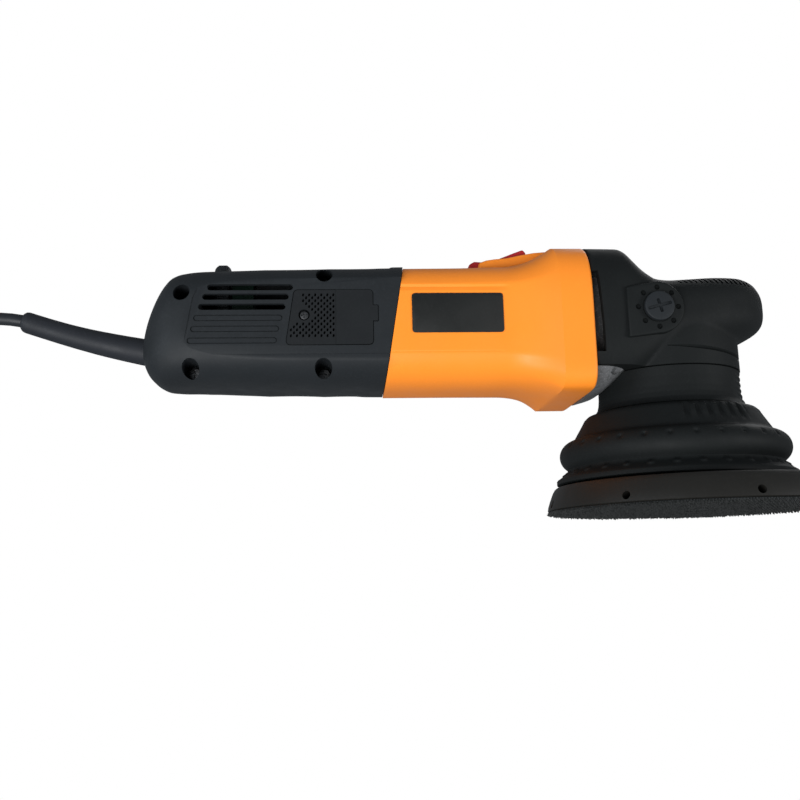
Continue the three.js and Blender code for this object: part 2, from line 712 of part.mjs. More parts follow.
function buildHead() {
  piece('gear_housing', gearHousing(), ALUMINIUM);
  piece('head_cover', headCover(), BLACK_RUBBER);
  for (const [word, side] of SIDES) {
    piece(`handle_plug_${word}`, handlePlug(side), BLACK_PLASTIC);
  }
  FLANGE_SCREWS.forEach((place, turn) => {
    piece(`gear_housing_screw_${turn + 1}`, flangeScrew(place), STEEL);
  });
  const flange = turned([
    [9.5, 50.4], [27, 50.4], [27, 68.7], [17.8, 68.7], [17.8, 55.7], [9.5, 55.7], [9.5, 50.4],
  ]);
  piece('bearing_flange', flange, ALUMINIUM);
  piece('spindle_bearing_lower', ring(SPINDLE_RADIUS + GAP, 17.5, [56, 67]), STEEL);
  piece('spindle_bearing_upper', ring(5.3, 8.3, [100.4, 108.6], 24), STEEL);
  const sleeve = turned([
    [NECK_RADIUS + GAP, 49.8], [37.8, 49.8], [35.9, 52.5], [34.9, 58],
    [34.8, COVER_SEAM_Z - GAP], [NECK_RADIUS + GAP, COVER_SEAM_Z - GAP], [NECK_RADIUS + GAP, 49.8],
  ]);
  const clearance = casing(GEAR_HOUSING_STATIONS, { grow: GAP, count: 16 });
  piece('neck_sleeve', cut(sleeve, clearance), BLACK_RUBBER);
}

// ---- Shroud: a rubber skirt with a band, a round bulge and a flange at its foot ----

function shroud() {
  const bulge = { radius: 48.4, z: 29.2, size: 7.5 };
  const outer = [[50.2, 14.7], [58, 14.7], [58, 17.3], [53, 20.2], [52, 22.4]];
  for (let step = 0; step <= 5; step += 1) {
    const angle = THREE.MathUtils.degToRad(-50 + step * 27);
    const out = bulge.radius + bulge.size * Math.cos(angle);
    outer.push([out, bulge.z + bulge.size * Math.sin(angle)]);
  }
  outer.push([48.2, 38.4], [45.2, 44.6], [43.9, 46.6], [38.4, SHROUD_TOP_Z]);
  const inner = [
    [36.8, SHROUD_TOP_Z], [36.8, 45.4], [41, 44.4], [45.2, 36.5],
    [50.6, 33.5], [50.6, 24],
  ];
  return turned([...outer, ...inner, outer[0]], 32);
}

// ---- Drive train below the crown gear, and the pad ----

function spindle() {
  return turned([
    [0, 45], [SPINDLE_RADIUS, 45], [SPINDLE_RADIUS, 67.4], [11, 67.4], [11, 77.3],
    [SPINDLE_RADIUS, 77.3], [SPINDLE_RADIUS, 97], [SHAFT_RADIUS, 97], [SHAFT_RADIUS, 108.4],
    [0, 108.4],
  ], 20);
}

function eccentric() {
  const hub = bar('z', 20.5, [24, 45], [PAD_OFFSET, 0], 28);
  const top = bar('z', 14, [44, 50], [0, 0], 20);
  const weight = plate(sectorShape(8, 40, TAU * 0.3, TAU * 0.7), [24, 40], 10);
  return cut(
    join(hub, top, weight),
    bar('z', 16.1, [20, 44.3], [PAD_OFFSET, 0], 24),
    bar('z', SPINDLE_RADIUS + GAP, [44.6, 60], [0, 0], 20),
  );
}

function padHub() {
  return turned([
    [4.3, 18.9], [17, 18.9], [17, 22], [9.5, 23.4], [SPINDLE_RADIUS, 23.4],
    [SPINDLE_RADIUS, 43.6], [4.3, 43.6], [4.3, 18.9],
  ], 20);
}

function padScrew() {
  return turned([[0, 6], [5.4, 6], [5.4, 11], [3.9, 11], [3.9, 42], [0, 42]], 14);
}

function backingPlate() {
  const hole = 6;
  const body = turned([
    [hole, 2.3], [PAD_RADIUS - 1.6, 2.3], [PAD_RADIUS - 6.2, 13.4], [38, 13.4], [38, 15.3],
    [4.3, 15.3], [4.3, 11.4], [hole, 11.4], [hole, 2.3],
  ], 40);
  const vents = [];
  for (let vent = 0; vent < 8; vent += 1) {
    const geometry = new THREE.CylinderGeometry(1.9, 1.9, 30, 6);
    geometry.rotateZ(Math.PI / 2);
    geometry.translate(PAD_RADIUS, 0, 5.6);
    geometry.rotateZ(((vent - 0.03) / 8) * TAU);
    vents.push(solid(geometry));
  }
  return cut(body, ...vents);
}

function buildDrive() {
  piece('crown_gear', crownGear(), DARK_STEEL, driveGroup);
  piece('spindle', spindle(), STEEL, driveGroup);
  piece('eccentric_counterweight', eccentric(), DARK_STEEL, driveGroup);
  piece('pad_bearing', ring(SPINDLE_RADIUS + GAP, 15.8, [25, 43.8], 20), STEEL, padGroup);
  piece('shroud', shroud(), BLACK_RUBBER);
}

function buildPad() {
  piece('pad_hub', padHub(), STEEL, padGroup);
  piece('pad_screw', padScrew(), STEEL, padGroup);
  piece('plate_top_disc', ring(4.3, 36, [15.6, 18.6], 32), DARK_STEEL, padGroup);
  piece('backing_plate', backingPlate(), URETHANE, padGroup);
  const hooks = turned([[6, 0], [PAD_RADIUS, 0], [PAD_RADIUS - 0.6, 2], [6, 2], [6, 0]], 40);
  piece('hook_face', hooks, HOOK_NYLON, padGroup);
}

// ---- Power cord, its coil, tie and plug ----

// Places on the free stretch of the cord, from the guard down to the top of the coil.
const CORD_ROUTE = [
  [-322.9, 0, 99.7], [-331, -0.3, 101.2], [-341, -1.5, 100.6], [-351, -4, 96.5],
  [-360, -8.5, 88], [-367, -14, 76], [-372.5, -19, 62], [-377, -21.5, 48.5],
  [-380, -18.5, 37.5], [-380.3, -9, 32.2], [-379.6, 2, 31.4],
];
const COIL_LAYERS = 4;
const COIL_COLUMNS = 3;
const COIL_BASE = 1.6; // the tie passes underneath
const COIL_TOP = COIL_BASE + COIL_LAYERS * CORD_DIAMETER + 0.4;
const COIL_HALF_WIDTH = (COIL_COLUMNS * CORD_DIAMETER) / 2;
const PLUG = {
  relief: -382, body: -364, face: -341, pins: 19, pinY: 9.5,
  height: 13.2, leadHeight: 5.4, radius: 13,
};

function cordTube() {
  const points = CORD_ROUTE.map(([x, y, z]) => new THREE.Vector3(x, y, z));
  const path = new THREE.CatmullRomCurve3(points, false, 'centripetal');
  const shape = new THREE.Shape();
  shape.absarc(0, 0, CORD_DIAMETER / 2, 0, TAU, false);
  const options = { extrudePath: path, steps: 12, curveSegments: 5, bevelEnabled: false };
  return solid(new THREE.ExtrudeGeometry(shape, options));
}

function coilRing() {
  const inner = COIL_RADIUS - COIL_HALF_WIDTH;
  const outer = COIL_RADIUS + COIL_HALF_WIDTH;
  const soft = 2;
  return turned([
    [inner + soft, COIL_BASE], [outer - soft, COIL_BASE], [outer, COIL_BASE + soft],
    [outer, COIL_TOP - soft], [outer - soft, COIL_TOP], [inner + soft, COIL_TOP],
    [inner, COIL_TOP - soft], [inner, COIL_BASE + soft], [inner + soft, COIL_BASE],
  ], 24);
}

// A strap round the wound section, on the side of the coil away from the tool.
function cordTie() {
  const strap = 1.2;
  const inner = COIL_RADIUS - COIL_HALF_WIDTH - 3 * GAP;
  const outer = COIL_RADIUS + COIL_HALF_WIDTH + GAP;
  const around = block([-outer - strap, -inner + strap], [-4, 4], [0.1, COIL_TOP + GAP + strap]);
  return cut(around, block([-outer, -inner], [-9, 9], [COIL_BASE - GAP, COIL_TOP + GAP]));
}

const PLUG_Y = COIL_CENTRE[1] - COIL_RADIUS - CORD_DIAMETER;

function plugBody() {
  const { relief, body, face, height, radius, leadHeight, pinY } = PLUG;
  const shell = geometryOf(turned([
    [0, body], [7.5, body], [radius, body + 8], [radius, face], [0, face],
  ], 18));
  shell.rotateY(Math.PI / 2);
  // The lead slopes down from the body to the cord, which lies on the ground.
  const length = body - relief;
  const lead = geometryOf(turned([[0, -length], [4.6, -length], [6.4, 0.5], [0, 0.5]], 12));
  lead.rotateY(Math.PI / 2 - Math.atan2(height - leadHeight, length));
  lead.translate(body, 0, 0);
  const holes = [-pinY, pinY].map((y) => bar('x', 2.7, [face - 4, face + 5], [y, 0], 10));
  const placed = geometryOf(cut(join(solid(shell), solid(lead)), ...holes));
  placed.translate(0, PLUG_Y, height);
  return solid(placed);
}

function plugPin(y) {
  const { face, pins, height } = PLUG;
  return bar('x', 2.4, [face - 3.7, face + pins], [PLUG_Y + y, height], 10);
}

function buildCord() {
  piece('power_cord', cordTube(), BLACK_RUBBER);
  piece('cord_coil', coilRing(), BLACK_RUBBER, coilGroup);
  piece('cord_tie', cordTie(), BLACK_PLASTIC, coilGroup);
  piece('plug', plugBody(), BLACK_RUBBER);
  piece('plug_pin_1', plugPin(-PLUG.pinY), BRASS);
  piece('plug_pin_2', plugPin(PLUG.pinY), BRASS);
}

buildHandle();
buildMotorHousing();
buildMotor();
buildHead();
buildDrive();
buildPad();
buildCord();

export default polisher;
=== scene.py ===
"""Dual action polisher: the visible surfaces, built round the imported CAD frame.

The frame is in metres. Shapes here are written in millimetres and scaled as they are made.
+X points to the nose, +Z up along the drive spindle, and the tool's right-hand side is -Y.
"""
import json
import math

import bmesh
import bpy
import numpy as np
from mathutils import Matrix, Vector


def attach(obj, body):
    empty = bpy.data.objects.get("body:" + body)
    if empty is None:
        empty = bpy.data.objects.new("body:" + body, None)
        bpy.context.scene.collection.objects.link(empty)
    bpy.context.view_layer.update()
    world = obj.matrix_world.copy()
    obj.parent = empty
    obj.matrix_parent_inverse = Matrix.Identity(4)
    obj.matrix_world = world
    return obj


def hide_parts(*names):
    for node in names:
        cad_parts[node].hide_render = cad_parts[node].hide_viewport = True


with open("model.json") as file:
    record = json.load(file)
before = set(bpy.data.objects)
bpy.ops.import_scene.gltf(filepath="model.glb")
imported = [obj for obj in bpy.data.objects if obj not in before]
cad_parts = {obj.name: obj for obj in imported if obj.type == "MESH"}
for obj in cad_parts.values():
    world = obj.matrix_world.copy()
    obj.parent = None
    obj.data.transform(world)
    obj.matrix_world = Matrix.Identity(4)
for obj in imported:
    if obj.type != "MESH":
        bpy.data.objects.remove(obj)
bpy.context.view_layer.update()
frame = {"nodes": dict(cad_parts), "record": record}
scene = bpy.context.scene
MM = 0.001
TAU = 2 * math.pi


def add_object(name, data):
    made = bpy.data.objects.new(name, data)
    scene.collection.objects.link(made)
    return made


# ---- Camera: level with the pad, a little below it, looking slightly up ----

CAMERA_AT = (-165.1, -440.9, -24.9)
YAW, PITCH, ROLL = (math.radians(a) for a in (3.68, 10.64, -1.27))
SENSOR = 36.0
LENS = 40.5


def camera_axes():
    cy, sy, cp, sp = math.cos(YAW), math.sin(YAW), math.cos(PITCH), math.sin(PITCH)
    ahead = Vector((sy * cp, cy * cp, sp))
    right = Vector((cy, -sy, 0))
    up = right.cross(ahead)
    cr, sr = math.cos(ROLL), math.sin(ROLL)
    return cr * right + sr * up, -sr * right + cr * up, ahead


def make_camera():
    right, up, ahead = camera_axes()
    data = bpy.data.cameras.new("camera")
    data.sensor_width = SENSOR
    data.lens = LENS
    data.clip_start = 0.01
    camera = add_object("camera", data)
    turn = Matrix((right, up, -ahead)).transposed()
    camera.matrix_world = Matrix.Translation(Vector(CAMERA_AT) * MM) @ turn.to_4x4()
    scene.camera = camera


make_camera()
scene.view_settings.view_transform = "Standard"

# ---- Materials ----


class Look:
    """A Principled material and the few node chains that these finishes share."""

    def __init__(self, name, color, roughness, metallic=0.0, specular=0.5):
        self.material = bpy.data.materials.new(name)
        self.material.use_nodes = True
        self.tree = self.material.node_tree
        self.shader = self.tree.nodes["Principled BSDF"]
        self.color = (*color, 1.0)
        inputs = self.shader.inputs
        inputs["Base Color"].default_value = self.color
        inputs["Roughness"].default_value = roughness
        inputs["Metallic"].default_value = metallic
        inputs["Specular IOR Level"].default_value = specular
        self.place = self.node("ShaderNodeTexCoord").outputs["Object"]
        self.height = None

    def node(self, kind, **settings):
        made = self.tree.nodes.new(kind)
        for key, value in settings.items():
            setattr(made, key, value)
        return made

    def link(self, a, b):
        self.tree.links.new(a, b)

    def stretched(self, scale):
        """Object coordinates multiplied by scale along each axis."""
        mapping = self.node("ShaderNodeMapping")
        mapping.inputs["Scale"].default_value = scale
        self.link(self.place, mapping.inputs["Vector"])
        return mapping.outputs["Vector"]

    def noise(self, size, detail=2.0, stretch=(1, 1, 1)):
        """Noise whose features are about size millimetres across."""
        noise = self.node("ShaderNodeTexNoise")
        noise.inputs["Scale"].default_value = 1 / (size * MM)
        noise.inputs["Detail"].default_value = detail
        source = self.place if stretch == (1, 1, 1) else self.stretched(stretch)
        self.link(source, noise.inputs["Vector"])
        return noise.outputs["Fac"]

    def ranged(self, source, low, high, start=0.3, end=0.7):
        """Maps start to end in source onto low to high."""
        ranged = self.node("ShaderNodeMapRange")
        for key, value in zip(("From Min", "From Max", "To Min", "To Max"), (start, end, low, high)):
            ranged.inputs[key].default_value = value
        self.link(source, ranged.inputs["Value"])
        return ranged.outputs["Result"]

    def tint(self, source, other, start=0.35, end=0.65):
        """Blends the colour towards another where source is high."""
        mix = self.node("ShaderNodeMix", data_type="RGBA")
        before = self.shader.inputs["Base Color"]
        if before.is_linked:
            self.link(before.links[0].from_socket, mix.inputs[6])
        else:
            mix.inputs[6].default_value = self.color
        mix.inputs[7].default_value = (*other, 1.0)
        self.link(self.ranged(source, 0.0, 1.0, start, end), mix.inputs[0])
        self.link(mix.outputs[2], before)

    def rough(self, source, low, high):
        """Lets the roughness wander between low and high."""
        self.link(self.ranged(source, low, high), self.shader.inputs["Roughness"])

    def bump(self, source, depth, strength=1.0):
        """Adds relief, depth in millimetres, on top of any relief before it."""
        bump = self.node("ShaderNodeBump")
        bump.inputs["Distance"].default_value = depth * MM
        bump.inputs["Strength"].default_value = strength
        self.link(source, bump.inputs["Height"])
        if self.height is not None:
            self.link(self.height, bump.inputs["Normal"])
        self.height = bump.outputs["Normal"]
        self.link(self.height, self.shader.inputs["Normal"])


def shade(color, factor):
    return tuple(c * factor for c in color)


def moulded(name, color, roughness, texture, depth, specular=0.25, mottle=0.12):
    """Moulded plastic or rubber: a fine grained skin, faint flow marks and uneven sheen."""
    look = Look(name, color, roughness, specular=specular)
    look.tint(look.noise(28, 3), shade(color, 1 - mottle))
    look.tint(look.noise(1.1, 1), shade(color, 1 + mottle), 0.5, 0.8)
    look.rough(look.noise(9, 4), roughness - 0.05, roughness + 0.05)
    look.bump(look.noise(texture, 3), depth)
    look.bump(look.noise(14, 2), 0.12, 0.35)
    return look.material


def metal(name, color, roughness, stretch=(1, 1, 1), size=0.6, depth=0.01):
    """Machined or cast metal: streaks or grain in colour, sheen and relief."""
    look = Look(name, color, roughness, metallic=1.0)
    look.tint(look.noise(size * 4, 4, stretch), shade(color, 0.82))
    look.rough(look.noise(size, 3, stretch), roughness - 0.08, roughness + 0.1)
    look.bump(look.noise(size, 3, stretch), depth)
    return look.material


def cast(name, color):
    """Rough cast metal with a dull, speckled skin."""
    look = Look(name, color, 0.5, metallic=0.35)
    look.tint(look.noise(0.7, 2), shade(color, 1.9), 0.55, 0.75)
    look.tint(look.noise(1.6, 3), shade(color, 0.6), 0.5, 0.8)
    look.rough(look.noise(1.2, 3), 0.42, 0.6)
    look.bump(look.noise(0.7, 3), 0.06)
    return look.material


BLACK = (0.014, 0.0165, 0.019)
RUBBER = (0.0076, 0.009, 0.0093)
ORANGE = (0.92, 0.262, 0.022)
LOOKS = {
    "handle_black": moulded("handle black", BLACK, 0.53, 0.35, 0.012, specular=0.18),
    "housing_orange": moulded("housing orange", ORANGE, 0.45, 0.6, 0.004, specular=0.3, mottle=0.025),
    "rubber_black": moulded("rubber black", RUBBER, 0.62, 0.3, 0.016, specular=0.13),
    "switch_red": moulded("switch red", (0.42, 0.022, 0.026), 0.4, 0.5, 0.004, mottle=0.04),
    "label_black": moulded("label black", (0.0115, 0.0125, 0.0122), 0.42, 0.25, 0.003, specular=0.3),
    "plate_urethane": moulded("plate urethane", (0.0112, 0.0108, 0.0096), 0.5, 0.5, 0.014),
    "hook_nylon": moulded("hook nylon", (0.013, 0.0145, 0.0145), 0.5, 0.2, 0.01, specular=0.35),
    "steel": metal("zinc plated steel", (0.36, 0.37, 0.38), 0.34),
    # Dark steel, its colour pushed darker as painted shade for the screw heads that sit deep in their holes
    "dark_steel": metal("dark steel with painted shade", (0.12, 0.123, 0.128), 0.36),
    "cast_aluminium": cast("cast aluminium", (0.15, 0.155, 0.16)),
    "lamination_steel": metal("lamination steel", (0.28, 0.28, 0.29), 0.45, (8, 1, 1), 2.0, 0.03),
    "copper": metal("enamelled copper", (0.62, 0.26, 0.1), 0.3, (1, 1, 4), 1.6, 0.05),
    "brass": metal("brass", (0.68, 0.45, 0.16), 0.28),
    "carbon": moulded("pressed carbon", (0.02, 0.02, 0.022), 0.65, 0.2, 0.02),
    "fan_cream": moulded("cream nylon", (0.68, 0.6, 0.42), 0.5, 0.5, 0.01),
    "board_green": moulded("circuit board", (0.003, 0.014, 0.009), 0.4, 0.8, 0.02),
    "cord_black": moulded("cord rubber", (0.0155, 0.0175, 0.021), 0.48, 0.4, 0.008),
}
# Black rubber, its colour lifted lighter and bluer as a painted sheen of reflected surroundings
GUARD_LOOK = moulded("guard rubber with painted sheen", (0.017, 0.019, 0.0235), 0.55, 0.35, 0.012, specular=0.2)
COVER_LOOK = moulded("smooth handle black", shade(BLACK, 0.62), 0.55, 0.35, 0.006, specular=0.2)
SLOT_OF = {s["node"]: s["material_slot"] for s in frame["record"]["subparts"]}
for name, node in frame["nodes"].items():
    node.data.materials.clear()
    node.data.materials.append(LOOKS[SLOT_OF[name]])

# ---- Solids: points and faces in millimetres, then objects cut and joined ----

MOTOR_Z = 92.7
SIDES = (("right", -1), ("left", 1))
CLEAR = 50  # past every side face, for the tools that cut in from the side
GAP = 0.3  # between pieces that touch


def pile(*solids):
    """Several separate solids as one."""
    points, faces = [], []
    for some, sides in solids:
        start = sum(len(p) for p in points)
        points.append(np.asarray(some, float))
        faces += [tuple(start + i for i in face) for face in sides]
    return np.concatenate(points), faces


def skin(rows, closed=False):
    """A skin over equal loops of points; the ends are capped, or joined when closed."""
    rows = np.asarray(rows, float)
    count, width = rows.shape[:2]
    faces = []
    for row in range(count if closed else count - 1):
        here, after = row * width, (row + 1) % count * width
        for step in range(width):
            side = (step + 1) % width
            faces.append((here + step, here + side, after + side, after + step))
    if not closed:
        faces += [tuple(range(width))[::-1], tuple(range((count - 1) * width, count * width))]
    return rows.reshape(-1, 3), faces


def along(points, axis):
    """Turns points made about Z so that their axis is X or Y."""
    if axis == "x":
        return points[:, [2, 0, 1]]
    if axis == "y":
        return points[:, [1, 2, 0]]
    return points


def lathe(profile, segments=96, axis="z", centre=(0, 0, 0)):
    """A ring, or a solid where the profile's (radius, height) points start and end on the axis."""
    angles = np.arange(segments) / segments * TAU
    profile = np.asarray(profile, float)
    on_axis = profile[0][0] == 0 and profile[-1][0] == 0
    inner = profile[1:-1] if on_axis else profile
    rows = np.array([[(r * math.cos(a), r * math.sin(a), h) for a in angles] for r, h in inner])
    points, faces = skin(rows, closed=not on_axis)
    if on_axis:
        last = len(points) - segments
        faces = faces[:-2]
        ends = [(0, 0, profile[0][1]), (0, 0, profile[-1][1])]
        points = np.concatenate([points, ends])
        for step in range(segments):
            after = (step + 1) % segments
            faces += [(after, step, last + segments), (last + step, last + after, last + segments + 1)]
    return along(points, axis) + np.array(centre, float), faces


def rod(axis, radius, span, centre=(0, 0, 0), segments=32, edge=0.0):
    """A cylinder between two places along an axis; edge chamfers its ends."""
    low, high = span
    profile = [(0, low), (radius, low), (radius, high), (0, high)]
    if edge:
        profile = [
            (0, low), (radius - edge, low), (radius, low + edge),
            (radius, high - edge), (radius - edge, high), (0, high),
        ]
    return lathe(profile, segments, axis, centre)


def prism(outline, span):
    """An outline in X and Z, drawn along Y."""
    rows = [[(x, y, z) for x, z in outline] for y in span]
    return skin(rows)


def box(xs, ys, zs):
    outline = [(xs[0], zs[0]), (xs[1], zs[0]), (xs[1], zs[1]), (xs[0], zs[1])]
    return prism(outline, ys)


def rim_tool(outer, inner, span):
    """A closed frame between two outlines in X and Z, drawn along Y."""
    rows = [[(x, y, z) for x, z in line] for line, y in
            ((outer, span[0]), (outer, span[1]), (inner, span[1]), (inner, span[0]))]
    return skin(rows, closed=True)


def span_of(side, inner, outer):
    """Two distances from the middle plane as a span in Y on that side."""
    return (inner, outer) if side > 0 else (-outer, -inner)


def rounded(corners, radius, steps=6):
    """An outline with its corners rounded."""
    made = []
    count = len(corners)
    for i, corner in enumerate(corners):
        here = Vector(corner)
        before, after = Vector(corners[i - 1]), Vector(corners[(i + 1) % count])
        a, b = (before - here).normalized(), (after - here).normalized()
        half = a.angle(b) / 2
        reach = min(radius / math.tan(half), 0.49 * (before - here).length, 0.49 * (after - here).length)
        start, end = here + a * reach, here + b * reach
        for step in range(steps + 1):
            t = step / steps
            made.append(tuple((1 - t) ** 2 * start + 2 * t * (1 - t) * here + t * t * end))
    return made


def arc(x, z, radius, degrees):
    """Points on a circle at some angles."""
    return [(x + radius * math.cos(a), z + radius * math.sin(a)) for a in np.radians(degrees)]


def slot_outline(x0, x1, z, width):
    """A slot with round ends."""
    radius = width / 2
    front = arc(x1 - radius, z, radius, np.linspace(-90, 90, 11))
    return front + arc(x0 + radius, z, radius, np.linspace(90, 270, 11))


def solid(name, *parts):
    """An object of one or more separate solids, its faces pointing out."""
    points, faces = pile(*parts)
    mesh = bpy.data.meshes.new(name)
    mesh.from_pydata((points * MM).tolist(), [], faces)
    bm = bmesh.new()
    bm.from_mesh(mesh)
    bmesh.ops.remove_doubles(bm, verts=bm.verts, dist=1e-8)
    bmesh.ops.recalc_face_normals(bm, faces=bm.faces)
    bm.to_mesh(mesh)
    bm.free()
    return add_object(name, mesh)


def settle(target):
    """Applies the modifiers."""
    graph = bpy.context.evaluated_depsgraph_get()
    mesh = bpy.data.meshes.new_from_object(target.evaluated_get(graph), depsgraph=graph)
    target.modifiers.clear()
    before, target.data = target.data, mesh
    bpy.data.meshes.remove(before)
    return target


def combine(target, tools, how="DIFFERENCE"):
    """Cuts away, joins or intersects with each tool, and removes the tools."""
    for tool in tools:
        step = target.modifiers.new("combine", "BOOLEAN")
        step.operation = how
        step.solver = "MANIFOLD"
        step.object = tool
    settle(target)
    for tool in tools:
        bpy.data.objects.remove(tool)
    return target


def twin(target, name):
    """A copy with a mesh of its own."""
    return add_object(name, target.data.copy())


def softened(target, width, segments=3, angle=35):
    """Rounds the sharp edges."""
    step = target.modifiers.new("edges", "BEVEL")
    step.width = width * MM
    step.segments = segments
    step.limit_method = "ANGLE"
    step.angle_limit = math.radians(angle)
    step.use_clamp_overlap = True
    return settle(target)


def present(target, slot, body, *stands_for, crease=32):
    """Gives a finished piece its material and body, and hides the CAD nodes that it stands for."""
    target.data.materials.clear()
    target.data.materials.append(LOOKS[slot])
    target.data.shade_smooth()
    target.data.set_sharp_from_angle(angle=math.radians(crease))
    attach(target, body)
    if stands_for:
        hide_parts(*stands_for)
    return target


def moved(target, change):
    """Moves a mesh's points: change takes and gives an array of points in millimetres."""
    points = np.empty(len(target.data.vertices) * 3, np.float32)
    target.data.vertices.foreach_get("co", points)
    points = change(points.reshape(-1, 3).astype(float) / MM) * MM
    target.data.vertices.foreach_set("co", points.astype(np.float32).ravel())
    target.data.update()
    return target


def pushed_out(points, amount):
    """Points moved away from the Z axis by amount millimetres."""
    share = 1 + amount / np.hypot(points[:, 0], points[:, 1])
    return points * np.stack([share, share, np.ones(len(points))], -1)


def soft_min(a, b, blend):
    """The smaller of the two, with a rounded change over."""
    h = np.maximum(blend - np.abs(a - b), 0) / blend
    return np.minimum(a, b) - h * h * blend / 4


def smooth_step(x, low, high):
    t = np.clip((x - low) / (high - low), 0, 1)
    return t * t * (3 - 2 * t)


def through(stations, xs):
    """The columns of some stations at each x, by a smooth curve that doesn't overshoot."""
    data = np.array(stations, float)
    x = data[:, 0]
    gap = np.diff(x)
    i = np.clip(np.searchsorted(x, xs) - 1, 0, len(gap) - 1)
    t = np.clip((xs - x[i]) / gap[i], 0, 1)
    columns = []
    for column in data[:, 1:].T:
        slope = np.diff(column) / gap
        product = slope[:-1] * slope[1:]
        mean = 2 * product / np.where(product > 0, slope[:-1] + slope[1:], 1)
        tangent = np.concatenate([[slope[0]], np.where(product > 0, mean, 0), [slope[-1]]])
        columns.append(
            column[i] * (1 + 2 * t) * (1 - t) ** 2 + column[i + 1] * t * t * (3 - 2 * t)
            + gap[i] * (tangent[i] * t * (1 - t) ** 2 - tangent[i + 1] * t * t * (1 - t))
        )
    return columns


def casing(xs, stations, power, reach, columns=220, lean=None):
    """Loops of points round X. Each station is x, half width, bottom, top.

    power sets how square a loop is, and reach(x, angle, radius, middle) shapes its radius.
    """
    angle = (np.arange(columns) + 0.5) / columns * TAU
    if xs.ndim == 1:
        xs = xs[:, None]
    width, bottom, top = through(stations, xs)
    c, s = np.cos(angle)[None], np.sin(angle)[None]
    half, middle = (top - bottom) / 2, (top + bottom) / 2
    radius = ((np.abs(c) / width) ** power + (np.abs(s) / half) ** power) ** (-1 / power)
    radius = reach(xs, angle[None], radius, middle)
    y, z = radius * c, middle + radius * s
    x = xs + (0 if lean is None else lean(xs) * (z - MOTOR_Z))
    return np.stack([x + 0 * y, y, z], -1)


def plain(grow):
    """A reach for casing that only moves the skin outwards."""
    return lambda x, angle, radius, middle: radius + grow


# ---- Handle: two shells, their screws, brush covers and speed dial ----

SEAM_X = -140.0
SEAM_LEAN = 0.165
SEAM_LAP = 0.08  # each shell goes this far past the middle plane
HANDLE_WALL = 3
HANDLE_FLAT = 30.75
PANEL_FLAT = 30.4
PANEL = [
    (-230.8, 112.3), (-235.2, 102), (-238.8, 80), (-238.5, 76), (-233, 74.6), (-128, 74.6), (-128, 112.3),
]
HANDLE = [
    (-262, 8, 77, 87), (-260.4, 14, 72.6, 92.4), (-258.3, 18.5, 68.8, 99), (-254.5, 23.2, 65.6, 108),
    (-250.7, 26.2, 64.1, 114.4), (-246.9, 28.3, 63.8, 118.2), (-242, 30, 63.6, 119.9),
    (-235, 31.8, 63.6, 120.6), (-215, 33.6, 62.7, 121.1), (-190, 34.2, 62.2, 121.5),
    (-139, 34.2, 61.5, 122.3),
]
CAVITY_SPAN = (-257, -130)
HANDLE_SCREWS = [(-240.6, 105.3), (-236.2, 69.6), (-174.1, 68.6), (-173.5, 114)]
SINK_RADIUS = 4.1
BORE_RADIUS = 1.8
SCREW_HEAD_Y = -9.5
GRIP_PITCH = 29.5
GRIP_START = -232
VENTS = [
    (-228.4, -188.2, 107.2), (-230.6, -190.2, 102.6), (-232.5, -191.7, 97.7),
    (-234.5, -193.1, 92.3), (-235.8, -194.6, 87), (-237.3, -195.6, 81.4),
]
OPEN_VENTS = 3
VENT_WIDTH = 3.0
VENT_LINE = 0.45
INSIDE = 20  # inside the side walls
COVER_CORNERS = [(-187.6, 105.8), (-150.6, 105.8), (-150.6, 79.2), (-191.6, 79.2)]
COVER_TAB = [(-151.5, 98.2), (-148.2, 98.2), (-148.2, 90.6), (-151.5, 90.6)]
COVER_SCREW = (-183, 93.6)
COVER_INNER = 28.6
COVER_PROUD = 0.4
COVER_CORNER = 2.2
TAB_CORNER = 0.5
COVER_OPENING = ((-169, -152), (82, 103))
COVER_POCKET = ((-187, -169), (82, 104.4))
DIAL = (-224.6, 115.2)
DIAL_RADIUS = 12.6
DIAL_HALF = 3.5
GUARD_START = (-252, 80.7)
GUARD_END = (-322.5, 99.6)


def handle_lean(xs):
    """How far a loop leans back per millimetre of height; the front end follows the slanted joint."""
    return SEAM_LEAN * np.clip((xs + 190) / 50, 0, None)


def handle_reach(grow):
    """Flat sides, finger waves above and below, and a lip over the joint."""
    def reach(x, angle, radius, middle):
        sine = np.abs(np.sin(angle))
        flat = HANDLE_FLAT / np.maximum(np.abs(np.cos(angle)), 1e-3)
        radius = soft_min(radius, flat, 0.5)
        wave = np.abs(np.sin(np.pi * (x - GRIP_START) / GRIP_PITCH))
        grip = smooth_step(sine, 0.72, 0.95) * smooth_step(x, -246, -232) * (1 - smooth_step(x, -156, -149))
        lip = smooth_step(x, -146.2, -144.8) * smooth_step(np.sin(angle), 0.35, 0.8)
        return radius - 0.45 * wave * grip + 0.5 * lip + grow
    return reach


def handle_rows(grow, start, end, rounded_to=-238):
    """Loops of the handle, close together on its rounded rear."""
    xs = np.concatenate([
        start + (rounded_to - start) * (1 - np.cos(np.linspace(0, np.pi / 2, 34)[:-1])),
        np.arange(rounded_to, end, 0.8), [end],
    ])
    return casing(xs, HANDLE, 3, handle_reach(grow), 340, handle_lean)


def dial_well():
    span = (DIAL[0] - DIAL_HALF - 0.7, DIAL[0] + DIAL_HALF + 0.7)
    return solid("well", rod("x", DIAL_RADIUS + 0.8, span, (0, 0, DIAL[1]), 64))


